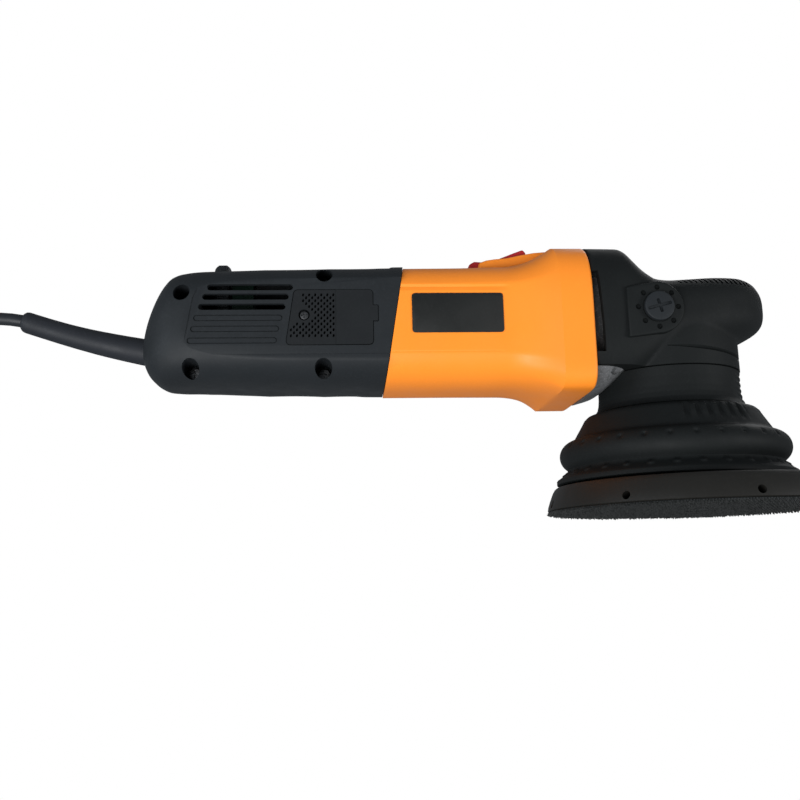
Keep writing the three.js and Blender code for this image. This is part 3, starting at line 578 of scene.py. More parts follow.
def guard_solid(name, grow=0.0):
    """The tapered bend guard; it droops a little between its ends."""
    (x0, z0), (x1, z1) = GUARD_START, GUARD_END
    long = math.hypot(x1 - x0, z1 - z0)
    outside = [
        (9, -grow), (9, 3 + grow), (6.75, 3 + grow), (6.6, 12), (6.35, 20), (6.05, 30), (5.7, 40), (5.45, 50),
        (5.3, 60), (5.25, long - 2.2), (4.9, long - 1), (4.2, long - 0.2),
    ]
    profile = [(0, -grow), *((r + grow, h) for r, h in outside), (3.6, long), (0, long)]
    dense = []
    for (ra, ha), (rb, hb) in zip(profile, profile[1:]):
        parts = max(1, int(abs(hb - ha) / 2))
        dense += [(ra + (rb - ra) * i / parts, ha + (hb - ha) * i / parts) for i in range(parts)]
    dense.append(profile[-1])
    points, faces = lathe(dense, 48)
    share = np.clip(points[:, 2] / long, 0, 1)
    sag = -1.3 * np.sin(np.pi * np.clip((share - 0.12) / 0.88, 0, 1))
    ahead = np.array([(x1 - x0) / long, 0, (z1 - z0) / long])
    across = np.array([ahead[2], 0, -ahead[0]])
    placed = (
        np.array([x0, 0, z0]) + points[:, 2:3] * ahead
        + (points[:, 0:1] + sag[:, None]) * across + points[:, 1:2] * np.array([0, 1, 0])
    )
    return solid(name, (placed, faces))


def grown(corners, grow):
    """Corners moved away from their middle, in X and in Z."""
    middle_x, middle_z = np.mean(corners, axis=0)
    return [
        (x + grow * math.copysign(1, x - middle_x), z + grow * math.copysign(1, z - middle_z))
        for x, z in corners
    ]


def brush_cover_tools(side, grow):
    """What the cover and its tab take out of a handle shell."""
    span = span_of(side, COVER_INNER - grow, CLEAR)
    cover = rounded(grown(COVER_CORNERS, grow), COVER_CORNER + grow)
    tab = rounded(grown(COVER_TAB, grow), TAB_CORNER)
    return [solid("cover", prism(cover, span)), solid("tab", prism(tab, span))]


def screw_holes(radius, span, segments):
    return solid("holes", *(rod("y", radius, span, (x, 0, z), segments) for x, z in HANDLE_SCREWS))


def vent_tools(side):
    """The open vents go through the wall; the others are shallow, with an outline round them."""
    slots, outlines = [], []
    for row, (left, right, height) in enumerate(VENTS):
        is_open = row < OPEN_VENTS
        slot = slot_outline(left, right, height, VENT_WIDTH)
        slots.append(prism(slot, span_of(side, INSIDE if is_open else PANEL_FLAT - 0.2, CLEAR)))
        if not is_open:
            inset = slot_outline(left + VENT_LINE, right - VENT_LINE, height, VENT_WIDTH - 2 * VENT_LINE)
            outlines.append(rim_tool(slot, inset, span_of(side, PANEL_FLAT - 0.7, CLEAR)))
    return [solid("vents", *slots), solid("outlines", *outlines)]


def side_recess(name, recess, side, inner):
    """A box cut in from one side; recess is its span in X and in Z."""
    return solid(name, box(recess[0], span_of(side, inner, CLEAR), recess[1]))


def handle_shells():
    cavity = solid("cavity", skin(handle_rows(-HANDLE_WALL, *CAVITY_SPAN)))
    combine(cavity, [solid("post", rod("y", 5.5, (-40, 40), (x, 0, z))) for x, z in HANDLE_SCREWS])
    whole = solid("whole", skin(handle_rows(0, HANDLE[0][0], SEAM_X)))
    combine(whole, [cavity, dial_well(), guard_solid("guard_seat", 0.25)])
    for word, side in SIDES:
        shell = twin(whole, f"handle_{word}")
        combine(shell, [
            solid("other_half", box((-400, 400), span_of(-side, SEAM_LAP, 400), (-50, 300))),
            *brush_cover_tools(side, GAP),
            screw_holes(BORE_RADIUS, (-30, 12), 24),
            screw_holes(SINK_RADIUS, (-45, SCREW_HEAD_Y), 40),
            *vent_tools(side),
            solid("panel", prism(PANEL, span_of(side, PANEL_FLAT, CLEAR))),
            side_recess("opening", COVER_OPENING, side, INSIDE),
            side_recess("pocket", COVER_POCKET, side, 28),
        ])
        present(shell, "handle_black", "tool", f"handle_shell_{word}")
    bpy.data.objects.remove(whole)


def perforations():
    """Centres of the cover's small holes: staggered rows that keep clear of its screw."""
    spots = []
    for row in range(15):
        z = 103.4 - 1.42 * row
        left = -185.4 - 0.22 * (105.8 - z)
        for step in range(9):
            x = -169.2 - 2.85 * step - (1.42 if row % 2 else 0)
            across, above = x - COVER_SCREW[0], z - COVER_SCREW[1]
            blank = math.hypot(across, above) < 4.4 or (across < -1 and above > -3.6)
            if x > left and not blank:
                spots.append((x, z))
    return spots


def brush_covers():
    turns = np.arange(10) / 10 * TAU
    screw_at = (COVER_SCREW[0], 0, COVER_SCREW[1])
    for word, side in SIDES:
        span = span_of(side, COVER_INNER, PANEL_FLAT + COVER_PROUD)
        body = solid(f"brush_cover_panel_{word}", prism(rounded(COVER_CORNERS, COVER_CORNER), span))
        combine(body, [solid("tab", prism(rounded(COVER_TAB, TAB_CORNER), span))], "UNION")
        holes = [
            prism(
                [(x + 0.52 * math.cos(a) + 0.12 * math.sin(a), z + 0.8 * math.sin(a)) for a in turns],
                span_of(side, INSIDE, CLEAR),
            )
            for x, z in perforations()
        ]
        combine(body, [
            solid("sink", rod("y", 2.7, span_of(side, 28.4, CLEAR), screw_at, 40)),
            solid("bore", rod("y", BORE_RADIUS, (-45, 45), screw_at, 24)),
            solid("holes", *holes),
            side_recess("step", ((-195, -167.9), (70, 110)), side, PANEL_FLAT),
        ])
        present(body, "handle_black", "tool", f"brush_cover_{word}")
        body.data.materials[0] = COVER_LOOK


def cross_screw(name, node, radius, at, side, head, shank):
    """A cross-recessed screw along Y. head is its (inner, outer) place, shank its (radius, end)."""
    x, z = at
    low, high = head
    profile = [
        (0, low), (radius, low), (radius, low + (high - low) * 0.45),
        (radius * 0.8, high - 0.15), (radius * 0.45, high), (0, high),
    ]
    screw = solid(name, lathe([(r, side * h) for r, h in profile], 40, "y", (x, 0, z)))
    stem_span = sorted((side * shank[1], side * (low + 0.1)))
    combine(screw, [solid("stem", rod("y", shank[0], stem_span, (x, 0, z), 24))], "UNION")
    arm, wide = radius * 0.62, radius * 0.13
    deep = span_of(side, high - radius * 0.42, high + 2)
    cuts = [box((x - u, x + u), deep, (z - w, z + w)) for u, w in ((arm, wide), (wide, arm))]
    combine(screw, [solid("cut", cut) for cut in cuts])
    present(screw, "dark_steel", "tool", node)


def screws():
    for number, place in enumerate(HANDLE_SCREWS, 1):
        cross_screw(
            f"shell_screw_{number}", f"handle_screw_{number}", 3.3, place, -1, (9.8, 12.3), (1.5, -10.4),
        )
    for word, side in SIDES:
        cross_screw(
            f"cover_screw_{word}", f"brush_cover_screw_{word}", 2.4, COVER_SCREW, side, (28.3, 29.6),
            (1.4, 27.6),
        )


def speed_dial():
    """The thumbwheel: 44 teeth that fade out towards its chamfered faces, a bore and two dishes."""
    x, z = DIAL
    centre = (0, 0, z)
    steps = 44 * 4
    angles = np.arange(steps) / steps * TAU
    tooth_gap = (np.arange(steps) % 4 >= 2) * 0.75
    half = [(1.9, DIAL_RADIUS, 0.9), (2.9, DIAL_RADIUS - 0.8, 0.5), (DIAL_HALF, DIAL_RADIUS - 1.5, 0.2)]
    rows = []
    for offset, radius, tooth in [(-o, r, t) for o, r, t in half[::-1]] + half:
        reach = radius - tooth * tooth_gap
        rows.append([(x + offset, q * math.cos(a), z + q * math.sin(a)) for q, a in zip(reach, angles)])
    wheel = solid("speed_wheel", skin(rows))
    tools = [solid("bore", rod("x", 2.3, (x - 5, x + 5), centre, 32))]
    for low, high in ((x - 5, x - 2.9), (x + 2.9, x + 5)):
        dish = [(3.6, low), (9.6, low), (9.6, high), (3.6, high)]
        tools.append(solid("dish", lathe(dish, 64, "x", centre)))
    combine(wheel, tools)
    present(wheel, "handle_black", "dial", "speed_dial")


handle_shells()
brush_covers()
screws()
speed_dial()
guard = present(guard_solid("bend_guard"), "rubber_black", "tool", "cord_guard")
guard.data.materials[0] = GUARD_LOOK

# ---- Orange motor housing, its label and the power switch ----

HOUSING_FLAT = 30.6
HOUSING = [
    (-139.7, 32.4, 60.9, 122.3), (-112, 32.4, 60.8, 122.5), (-84, 32.6, 60.6, 123), (-40, 33, 60.6, 123),
]
RIM = {"start": -87, "crease": -61.8, "side": 38.5, "top": 131.6, "bottom": 56.3, "low": 69.5}
GROOVE_Z = (105.4, 108.5)
LINE_Z = 75.6
FLANGE_X = -46.4
FLANGE_EDGE = 1.2
FLANGE_SCREWS = [(24.4, 24.4), (24.4, -24.4), (-24.4, 24.4), (-24.4, -24.4)]
FLANGE_BORE = 1.9
CHEEKS = [
    (-96.8, 116), (-96.8, 121.5), (-96, 125.9), (-92.5, 127.2), (-88, 127.9), (-82, 128.4), (-75, 130),
    (-68, 131.2), (-58, 132), (-58, 116),
]
ROCKER = [
    (-102, 120.4), (-101.8, 123), (-100.4, 126.6), (-97.8, 128), (-94.8, 127.8), (-88.8, 127.2),
    (-84.5, 129.8), (-77.5, 132.6), (-72.6, 134.4), (-71.2, 132.6), (-71, 129), (-73, 121), (-80, 118.4),
    (-92, 118.4), (-97, 120.4),
]
ROCKER_HALF = 7.5
PIVOT = (-86, 0, 121.5)
SWITCH_WELL = ((-102.6, -69), (-ROCKER_HALF - 0.3, ROCKER_HALF + 0.3), (105, 160))
LABEL = [(-132.1, 84.6), (-88.3, 84.6), (-88.3, 104), (-132.1, 104)]
MOTOR_CENTRE = (0, 0, MOTOR_Z)


def housing_lean(xs):
    """The rear end leans with the slanted joint."""
    return SEAM_LEAN * np.clip((-100 - xs) / 40, 0, 1)


def housing_reach(grow):
    """A flat-sided barrel that flares into the rim, with a groove and a fine line on its side."""
    def reach(x, angle, radius, middle):
        c, s = np.abs(np.cos(angle)), np.sin(angle)
        body = soft_min(radius, HOUSING_FLAT / np.maximum(c, 1e-3), 0.5)
        tall = np.where(s > 0, RIM["top"] - middle, middle - RIM["bottom"])
        power = np.where(s > 0, 3.2, 9)
        rim = ((c / RIM["side"]) ** power + (np.abs(s) / tall) ** power) ** (-1 / power)
        rim = np.where(s > 0, rim, soft_min(rim, RIM["low"] / (c + np.abs(s)), 2.5))
        share = np.clip((x - RIM["start"]) / (RIM["crease"] - RIM["start"]), 0, 1) ** 2
        height = middle + body * s
        fade = 1 - smooth_step(x, -91, -83)
        groove = np.clip(np.minimum((height - GROOVE_Z[0]) / 2.4, (GROOVE_Z[1] - height) / 0.7), 0, 1)
        line = np.clip(1 - np.abs(height - LINE_Z) / 0.45, 0, 1)
        body = body - (0.75 * groove + 0.15 * line) * fade
        edge = np.clip((x - FLANGE_X + FLANGE_EDGE) / FLANGE_EDGE, 0, 1)
        return body + (rim - body) * share + grow - 0.8 * edge * edge
    return reach


def housing_rows(grow, start, end):
    """Loops of the housing, closer together where it flares and at its edge."""
    stops = (start, RIM["start"], RIM["crease"], FLANGE_X - FLANGE_EDGE)
    spans = zip(stops, stops[1:], (24, 30, 8))
    xs = [np.linspace(low, high, count)[:-1] for low, high, count in spans]
    xs = np.concatenate([*xs, np.linspace(stops[-1], end, 6)])
    return casing(xs, HOUSING, 3, housing_reach(grow), 720, housing_lean)


def flange_rods(radius, span, segments=32):
    """Rods along X at the four flange screws."""
    return [rod("x", radius, span, (0, y, MOTOR_Z + z), segments) for y, z in FLANGE_SCREWS]


def motor_housing():
    body = solid("orange_housing", skin(housing_rows(0, HOUSING[0][0], FLANGE_X)))
    posts = solid("posts", *flange_rods(6, (-62, FLANGE_X)))
    combine(posts, [twin(body, "outside")], "INTERSECT")
    combine(body, [
        softened(solid("cheeks", prism(CHEEKS, (-12, 12))), 1.2),
        solid("barrel", rod("x", 26, (-168, -126), MOTOR_CENTRE, 96, 0.6)),
    ], "UNION")
    throat = [(-139, 28, 64.7, 120.7), (-100, 28, 64.7, 120.7)]
    oval = casing(np.array([-139.0, -100.0]), throat, 2, plain(0), 96)
    combine(body, [
        solid("front", skin(housing_rows(-3, -112, -40))),
        solid("oval", skin(oval)),
        solid("bore", rod("x", 23.5, (-157.5, -130), MOTOR_CENTRE, 96)),
        solid("seat", rod("x", 11.3, (-165.5, -150), MOTOR_CENTRE, 64)),
        solid("end", rod("x", 6, (-169, -150), MOTOR_CENTRE)),
    ])
    combine(body, [posts], "UNION")
    windows = [box((-155.9, -147.1), span_of(side, 10, 40), (86.2, 99.2)) for _, side in SIDES]
    combine(body, [
        solid("screws", *flange_rods(FLANGE_BORE, (-60, 0), 24)),
        solid("windows", *windows),
        solid("well", box(*SWITCH_WELL)),
        solid("pivot", rod("y", 1.7, (-10.5, 10.5), PIVOT)),
    ])
    present(body, "housing_orange", "tool", "motor_housing", crease=24)


def rating_label():
    span = span_of(-1, HOUSING_FLAT + 0.04, HOUSING_FLAT + 0.5)
    label = softened(solid("blank_label", prism(rounded(LABEL, 1.8), span)), 0.12, 2)
    present(label, "label_black", "tool", "rating_label")


def rocker():
    body = softened(solid("rocker_switch", prism(ROCKER, (-ROCKER_HALF, ROCKER_HALF))), 0.9)
    combine(body, [solid("pin", rod("y", 1.4, (-10.2, 10.2), PIVOT))], "UNION")
    grooves = [
        box((x, x + 0.7), (-5.6, 5.6), (127.4 + 0.4 * (x - PIVOT[0]), 140))
        for x in np.arange(-84.0, -75.5, 1.7)
    ]
    combine(body, [solid("grooves", *grooves)])
    present(body, "switch_red", "switch", "switch_rocker")


motor_housing()
rating_label()
rocker()

# ---- Head: gear case, rubber cover, side-handle plugs and neck sleeve ----

HEAD_REAR = -46.1
COVER = [
    (HEAD_REAR, 38.4, 55, 131.8), (-29.5, 38, 57, 131.6), (-27, 37.8, 58, 130.6), (-23.8, 37.6, 60.5, 127),
    (-20.2, 37.4, 63.5, 122.4), (-16.2, 37.2, 67, 118.4), (-11.5, 36.9, 71, 115.2),
    (-4.5, 36.4, 74.5, 114.3), (6, 35.6, 77, 114.9), (20, 33.4, 79.5, 116), (31, 29.6, 83, 116.3),
    (38.5, 24.5, 85.4, 115.2),
    (44, 18.5, 88, 112.6), (48, 12, 91.5, 109.3), (49.7, 6, 97, 105.5),
]
GEAR_CASE = [
    (HEAD_REAR, 34.6, 56, 127.6), (-38, 34.2, 58.5, 127.2), (-32, 33.7, 63, 126.4), (-27, 33.2, 67, 122.4),
    (-21, 32.7, 70.5, 117), (-15, 32.3, 73.5, 113.4), (-7, 31.6, 77, 111.6), (2, 31, 79.5, 111.6),
    (30, 23, 88.5, 112.2), (38, 17, 92, 110.5), (44, 9, 96, 107),
]
COVER_SEAM_Z = 68
BOSS = {"x": -16.0, "z": 94.3, "radius": 12.7, "rear": -30.7, "face": 39.6}
SLOT_TURN = 15
BOSS_AT = (BOSS["x"], 0, BOSS["z"])
EXHAUST = [(-60, 73.6), (-41.4, 73.6), (-43, 113.2), (-60, 113.2)]
NOSE = 12
GRIP_RIBS = 15


def loft(stations, grow):
    """A rounded casing through the stations, with its loops closer together at the nose."""
    start, end = stations[0][0], stations[-1][0]
    nose = end - NOSE + NOSE * np.sin(np.linspace(0, np.pi / 2, 20))
    xs = np.concatenate([np.arange(start, end - NOSE, 1.0), nose])
    return skin(casing(xs, stations, 3, plain(grow), 200))


def gear_block(name, grow):
    """The outside of the gear case: the body behind and a round neck below."""
    body = solid(name, loft(GEAR_CASE, grow))
    return combine(body, [solid("neck", rod("z", 31 + grow, (46, 105.5), segments=128))], "UNION")


def gear_case():
    body = gear_block("gear_case", 0)
    combine(body, [solid("foot", rod("z", 36.4, (46, 49.4), segments=128))], "UNION")
    pocket = [(0, 40), (27.3, 40), (27.3, 69), (24.5, 69), (24.5, 101.5), (8.6, 101.5), (8.6, 109), (0, 109)]
    threads = [rod("y", 5, span_of(side, 23.4, 40), BOSS_AT) for _, side in SIDES]
    ducts = [box((-50, -35.5), span_of(side, 15, 40), (74, 113)) for _, side in SIDES]
    combine(body, [
        solid("pocket", lathe(pocket)),
        solid("seat", rod("x", 13.3, (-60, -37.1), MOTOR_CENTRE, 64)),
        solid("bore", rod("x", 8, (-40, -20), MOTOR_CENTRE)),
        solid("threads", *threads),
        solid("screws", *flange_rods(FLANGE_BORE, (-60, 0), 24)),
        solid("heads", *flange_rods(3.4, (-39.5, 20))),
        solid("ducts", *ducts),
    ])
    present(body, "cast_aluminium", "tool", "gear_housing")


def boss_outline():
    """The raised boss: round in front, straight towards the motor."""
    x, z, radius = BOSS["x"], BOSS["z"], BOSS["radius"]
    front = arc(x, z, radius, np.linspace(-90, 90, 40))
    return [(BOSS["rear"], z - 14.6), *front, (BOSS["rear"], z + 10)]


def blended(target, voxel, passes):
    """Remakes the skin evenly and relaxes it, so that joined shapes flow together."""
    remesh = target.modifiers.new("even", "REMESH")
    remesh.mode = "VOXEL"
    remesh.voxel_size = voxel * MM
    relax = target.modifiers.new("relax", "SMOOTH")
    relax.factor = 0.5
    relax.iterations = passes
    return settle(target)


def grip_grooves():
    """The slanted grooves across the palm grip, as one thin tool that follows the cover's skin."""
    grip = combine(solid("grip", loft(COVER, 1.5)), [solid("in", loft(COVER, -1.35))])
    ribs = []
    for rib in range(GRIP_RIBS):
        x = -3.7 + 2.6 * rib
        ribs.append(prism([(x - 1.8, 126), (x - 0.6, 126), (x + 3.6, 108.4), (x + 2.4, 108.4)], (-35, 35)))
    return combine(grip, [solid("ribs", *ribs)], "INTERSECT")


def neck_fold():
    """The fold round the front of the neck; it gets shallower and higher towards the motor."""
    fold = solid("fold", lathe([(34.1, 74.6), (38, 72), (38, 77.6)], 192))
    combine(fold, [solid("front", box((-10.5, 60), (-60, 60), (60, 90)))], "INTERSECT")

    def leaning(points):
        raised = pushed_out(points, 0.9 * (1 - smooth_step(points[:, 0], -15, 5)))
        raised[:, 2] -= 0.08 * (points[:, 0] - 20)
        return raised

    return moved(fold, leaning)


def boss_tools(side):
    """The plug's hole and seat, the ring of dimples round it, and the air outlet behind it."""
    x, _, z = BOSS_AT
    face = BOSS["face"]
    dimples = [
        rod("y", 1.3, span_of(side, face - 1.6, CLEAR), (x + 9.6 * math.cos(a), 0, z + 9.6 * math.sin(a)), 24)
        for a in np.arange(8) / 8 * TAU
    ]
    return [
        solid("hole", rod("y", 5, span_of(side, 20, CLEAR), BOSS_AT)),
        solid("sink", rod("y", 7.5, span_of(side, face - 0.5, CLEAR), BOSS_AT, 64)),
        solid("dimples", *dimples),
        solid("exhaust", prism(EXHAUST, span_of(side, 33, CLEAR))),
    ]


def head_cover():
    body = solid("head_cover_rubber", loft(COVER, 0.1))
    combine(body, [solid("neck", rod("z", 35.3, (62, 100), segments=128))], "UNION")
    blended(body, 0.8, 6)
    bosses = [solid("boss", prism(boss_outline(), span_of(side, 28, BOSS["face"]))) for _, side in SIDES]
    combine(body, [softened(boss, 0.9) for boss in bosses], "UNION")
    tools = [
        grip_grooves(),
        gear_block("inside", GAP),
        solid("below", box((-100, 100), (-100, 100), (0, COVER_SEAM_Z))),
        solid("rear", box((-100, HEAD_REAR), (-100, 100), (0, 200))),
    ]
    for _, side in SIDES:
        tools += boss_tools(side)
    combine(body, [*tools, neck_fold()])
    present(body, "rubber_black", "tool", "head_cover", crease=40)


def handle_plugs():
    """Round plugs with a cross slot, one arm of it longer than the other."""
    x, _, z = BOSS_AT
    face = BOSS["face"]
    turn = math.radians(SLOT_TURN)
    for word, side in SIDES:
        disc = rod("y", 7.1, span_of(side, face - 0.2, face + 2.4), BOSS_AT, 64)
        head = softened(solid(f"side_plug_{word}", disc), 0.5)
        combine(head, [solid("shank", rod("y", 4.7, span_of(side, 24, face), BOSS_AT, 40))], "UNION")
        for long, angle in ((5.9, turn), (3.4, turn + math.pi / 2)):
            c, s = math.cos(angle), math.sin(angle)
            corners = [(long, 0.75), (-long, 0.75), (-long, -0.75), (long, -0.75)]
            outline = rounded([(x + u * c - v * s, z + u * s + v * c) for u, v in corners], 0.6)
            combine(head, [solid("slot", prism(outline, span_of(side, face + 1.2, face + 5)))])
        present(head, "handle_black", "tool", f"handle_plug_{word}")


def neck_sleeve():
    foot, top, inner = 49.8, 67.7, 31.3
    rise = [(37.4, foot), (36.3, 51.2), (35.5, 52.5), (34.9, 55), (34.6, 58), (34.5, 63), (34.6, 67.3)]
    heights = np.arange(foot, top - 0.3, 0.4)
    reach = np.interp(heights, [z for _, z in rise], [r for r, _ in rise])
    profile = [(inner, foot), *zip(reach, heights), (34.2, top), (inner, top)]
    sleeve = solid("sleeve_rubber", lathe(profile, 360))

    def ribbed(points):
        """Rings that fade out past the front of the neck."""
        angle = np.degrees(np.arctan2(points[:, 1], points[:, 0]))
        radius = np.hypot(points[:, 0], points[:, 1])
        wave = np.clip(0.3 + np.cos(TAU * points[:, 2] / 2.9), 0, 1)
        return pushed_out(points, 0.4 * wave * (1 - smooth_step(np.abs(angle), 36, 44)) * (radius > 33))

    moved(sleeve, ribbed)
    combine(sleeve, [solid("inside", loft(GEAR_CASE, GAP))])
    present(sleeve, "rubber_black", "tool", "neck_sleeve")


gear_case()
head_cover()
handle_plugs()
neck_sleeve()

# ---- Shroud, top disc, backing plate and hook face ----

PAD_CENTRE = (10.5, 0, 0)
RIM_VENTS = 8
HOOK_PITCH = 1.8
HOOK_RADII = (7, 73.6)
HOOK_FOOT = 1.4
HOOK_WIDTH = 0.27
RIM_HOOKS = 360


def nearest_of(angle, offset, radius, count=30):
    """Distance in millimetres to the nearest of count places spread evenly round a circle."""
    pitch = 360 / count
    turns = (angle + offset) / pitch
    return (turns - np.round(turns)) * math.radians(pitch) * radius


def shroud():
    flange = [
        (57.5, 14.7), (58, 15.1), (58, 16.8), (57.6, 17.3), (56.2, 18.2), (55.5, 18.7), (54.8, 19.2),
        (54.1, 19.7), (53.4, 20.2), (52.8, 20.8), (52.3, 21.5), (52.1, 22.4),
    ]
    bulge = arc(48.4, 29.2, 7.5, np.arange(-50, 85, 4.5))
    cone = [
        (48.6, 37.1), (47.8, 38.4), (46.6, 40.4), (45.4, 42.4), (44.8, 43.4), (44.2, 44.4), (43.4, 45.8),
        (42.7, 47.1), (41.4, 48.4), (38.4, 49.4),
    ]
    inside = [
        (36.8, 49.4), (36.8, 45.4), (41, 44.4), (43.6, 37.5), (46.2, 33.5), (48.6, 30), (49.6, 24),
        (50.2, 14.7),
    ]
    skirt = solid("shroud_rubber", lathe(flange + bulge + cone + inside, 1200))

    def detailed(points):
        """Ribs on the cone at the tool's sides, dimples round the bulge, and bumps on the flange."""
        x, y, z = points.T
        angle = np.degrees(np.arctan2(y, x))
        radius = np.hypot(x, y)
        wide = smooth_step(np.abs(angle), 57, 63) * (1 - smooth_step(np.abs(angle), 101, 106))
        rib = np.clip(2.4 * np.cos(np.radians(angle * 52)), -1, 1) * wide
        rib = 0.75 * rib * smooth_step(z, 41.5, 43) * (1 - smooth_step(z, 46.6, 48.4)) * (radius > 41.2)
        dent_at = nearest_of(angle, 2.9, 53.4)
        dent = -1.2 * np.exp(-((dent_at / 1.2) ** 2) - (((z - 33) / 1.0) ** 2)) * (radius > 50)
        bump_at = nearest_of(angle, 0.6, 54)
        bump = 1.2 * np.clip(1.5 - np.hypot(bump_at / 1.5, (z - 20.2) / 0.8), 0, 1) * (radius > 52)
        return pushed_out(points, rib + dent + bump)

    moved(skirt, detailed)
    present(skirt, "rubber_black", "tool", "shroud", crease=50)


def top_disc():
    """The steel disc over the plate's hub, hidden inside the shroud."""
    profile = [
        (4.3, 15.6), (35.4, 15.6), (36, 16.2), (36, 18), (35.4, 18.6), (24, 18.6), (23.6, 18.2), (12, 18.2),
        (11.6, 18.6), (4.3, 18.6),
    ]
    disc = solid("disc_plate", lathe(profile, 192, centre=PAD_CENTRE))
    present(disc, "dark_steel", "pad", "plate_top_disc")


def backing_plate():
    profile = [
        (6, 1.7), (73, 1.7), (73.6, 2.2), (73.3, 4), (72.3, 7), (70.7, 11), (69.7, 12.7), (68.8, 13.4),
        (38, 13.4), (38, 15.3), (4.3, 15.3), (4.3, 11.4), (6, 11.4),
    ]
    body = solid("moulded_plate", lathe(profile, 256, centre=PAD_CENTRE))
    vents = []
    for vent in range(RIM_VENTS):
        angle = math.radians(360 / RIM_VENTS * vent - 0.35)
        points, faces = rod("x", 1.9, (60, 80), (0, 0, 4.9), 24)
        c, s = math.cos(angle), math.sin(angle)
        vents.append((points @ np.array([[c, s, 0], [-s, c, 0], [0, 0, 1]]) + PAD_CENTRE, faces))
    combine(body, [solid("vents", *vents)])
    present(body, "plate_urethane", "pad", "backing_plate")


def bristle(foot, tip):
    """One hook: a small leaning spike."""
    loop = np.array([(-1, -1), (1, -1), (1, 1), (-1, 1)]) * HOOK_WIDTH
    rows = [
        np.column_stack([loop * share + spot[:2], np.full(4, spot[2])])
        for spot, share in ((foot, 1), (tip, 0.7))
    ]
    return skin(rows)


def hook_face():
    """A thin sheet with bristles all over it and a fringe of them round its rim."""
    profile = [(6, 1.2), (73, 1.2), (73.6, 1.35), (73.3, 1.6), (6, 1.6)]
    parts = [lathe(profile, 256, centre=PAD_CENTRE)]
    scatter = np.random.default_rng(7)
    reach = int(75 / HOOK_PITCH) + 1
    for i in range(-reach, reach + 1):
        for j in range(-reach, reach + 1):
            x, y = i * HOOK_PITCH + (j % 2) * HOOK_PITCH / 2, j * HOOK_PITCH * 0.9
            if not HOOK_RADII[0] < math.hypot(x, y) < HOOK_RADII[1]:
                continue
            lean = scatter.uniform(-0.35, 0.35, 2)
            foot = np.array([x, y, HOOK_FOOT]) + PAD_CENTRE
            parts.append(bristle(foot, foot + (*lean, -HOOK_FOOT + scatter.uniform(0, 0.5))))
    for step in range(RIM_HOOKS):
        angle = TAU * step / RIM_HOOKS
        out = np.array([math.cos(angle), math.sin(angle), 0])
        foot = out * 73 + PAD_CENTRE + (0, 0, HOOK_FOOT)
        tip = foot + out * scatter.uniform(0.2, 1.1) + (0, 0, scatter.uniform(-HOOK_FOOT, -0.5))
        parts.append(bristle(foot, tip))
    present(solid("hook_pile", *parts), "hook_nylon", "pad", "hook_face")


shroud()
top_disc()
backing_plate()
hook_face()

# ---- Cord: out of the guard, down to the surface, and into a tied coil ----

CORD_DIAMETER = 6.4
CORD_ROUTE = [
    (-322.9, 0, 99.7), (-331, -0.3, 101.2), (-341, -1.5, 100.6), (-351, -4, 96.5),
    (-360, -8.5, 88), (-367, -14, 76), (-372.5, -19, 62), (-377, -21.5, 48.5),
]
COIL_CENTRE = Vector((-410, 6))
COIL_COLUMNS = (30.4, 36.8, 43.2)
COIL_LAYERS = (24.0, 17.6, 11.2, 4.8)
TURN_POINTS = 24
PLUG_Y = -37.2
PLUG_Z = 13.2
PIN_SPACING = 19
INTO_COIL = [(-380, -18.5, 37.5), (-380.3, -9, 30.5), (-379.9, -1, 26)]
INTO_PLUG = [(-400, PLUG_Y, 4.8), (-390, PLUG_Y, 5), (-381, PLUG_Y, 5.6)]
TIE = {"x": (-458.1, -434.9), "z": (0.1, 29.1), "y": (2, 10), "thick": 1.2, "corner": 5}


def coil_points():
    """Down the inner column, up the middle one and down the outer one."""
    points = []
    last_turn, last_column = len(COIL_LAYERS) - 1, len(COIL_COLUMNS) - 1
    for column, radius in enumerate(COIL_COLUMNS):
        heights = COIL_LAYERS if column != 1 else COIL_LAYERS[::-1]
        for step in range(len(COIL_LAYERS) * TURN_POINTS):
            turn, part = divmod(step, TURN_POINTS)
            share = part / TURN_POINTS
            ramp = max(0.0, (share - 0.75) / 0.25)
            ramp = ramp * ramp * (3 - 2 * ramp)
            climb = heights[turn + 1] - heights[turn] if turn < last_turn else 0
            outward = ramp if turn == last_turn and column < last_column else 0.0
            reach = radius + outward * CORD_DIAMETER
            angle = TAU * share
            points.append((
                COIL_CENTRE.x + reach * math.cos(angle),
                COIL_CENTRE.y + reach * math.sin(angle),
                heights[turn] + ramp * climb,
            ))
    return points


def make_cord():
    """One smooth run; the last quarter turn of the coil is left off for the way into the plug."""
    points = CORD_ROUTE + INTO_COIL + coil_points()[1:-TURN_POINTS // 4] + INTO_PLUG
    curve = bpy.data.curves.new("power_cord_run", "CURVE")
    curve.dimensions = "3D"
    curve.bevel_depth = CORD_DIAMETER / 2 * MM
    curve.bevel_resolution = 4
    curve.use_fill_caps = True
    curve.resolution_u = 4
    spline = curve.splines.new("NURBS")
    spline.points.add(len(points) - 1)
    for spot, point in zip(spline.points, points):
        spot.co = (*(Vector(point) * MM), 1.0)
    spline.order_u = 4
    spline.use_endpoint_u = True
    curve.materials.append(LOOKS["cord_black"])
    cord = add_object("mains_cord", curve)
    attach(cord, "tool")
    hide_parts("power_cord", "cord_coil")
    return cord


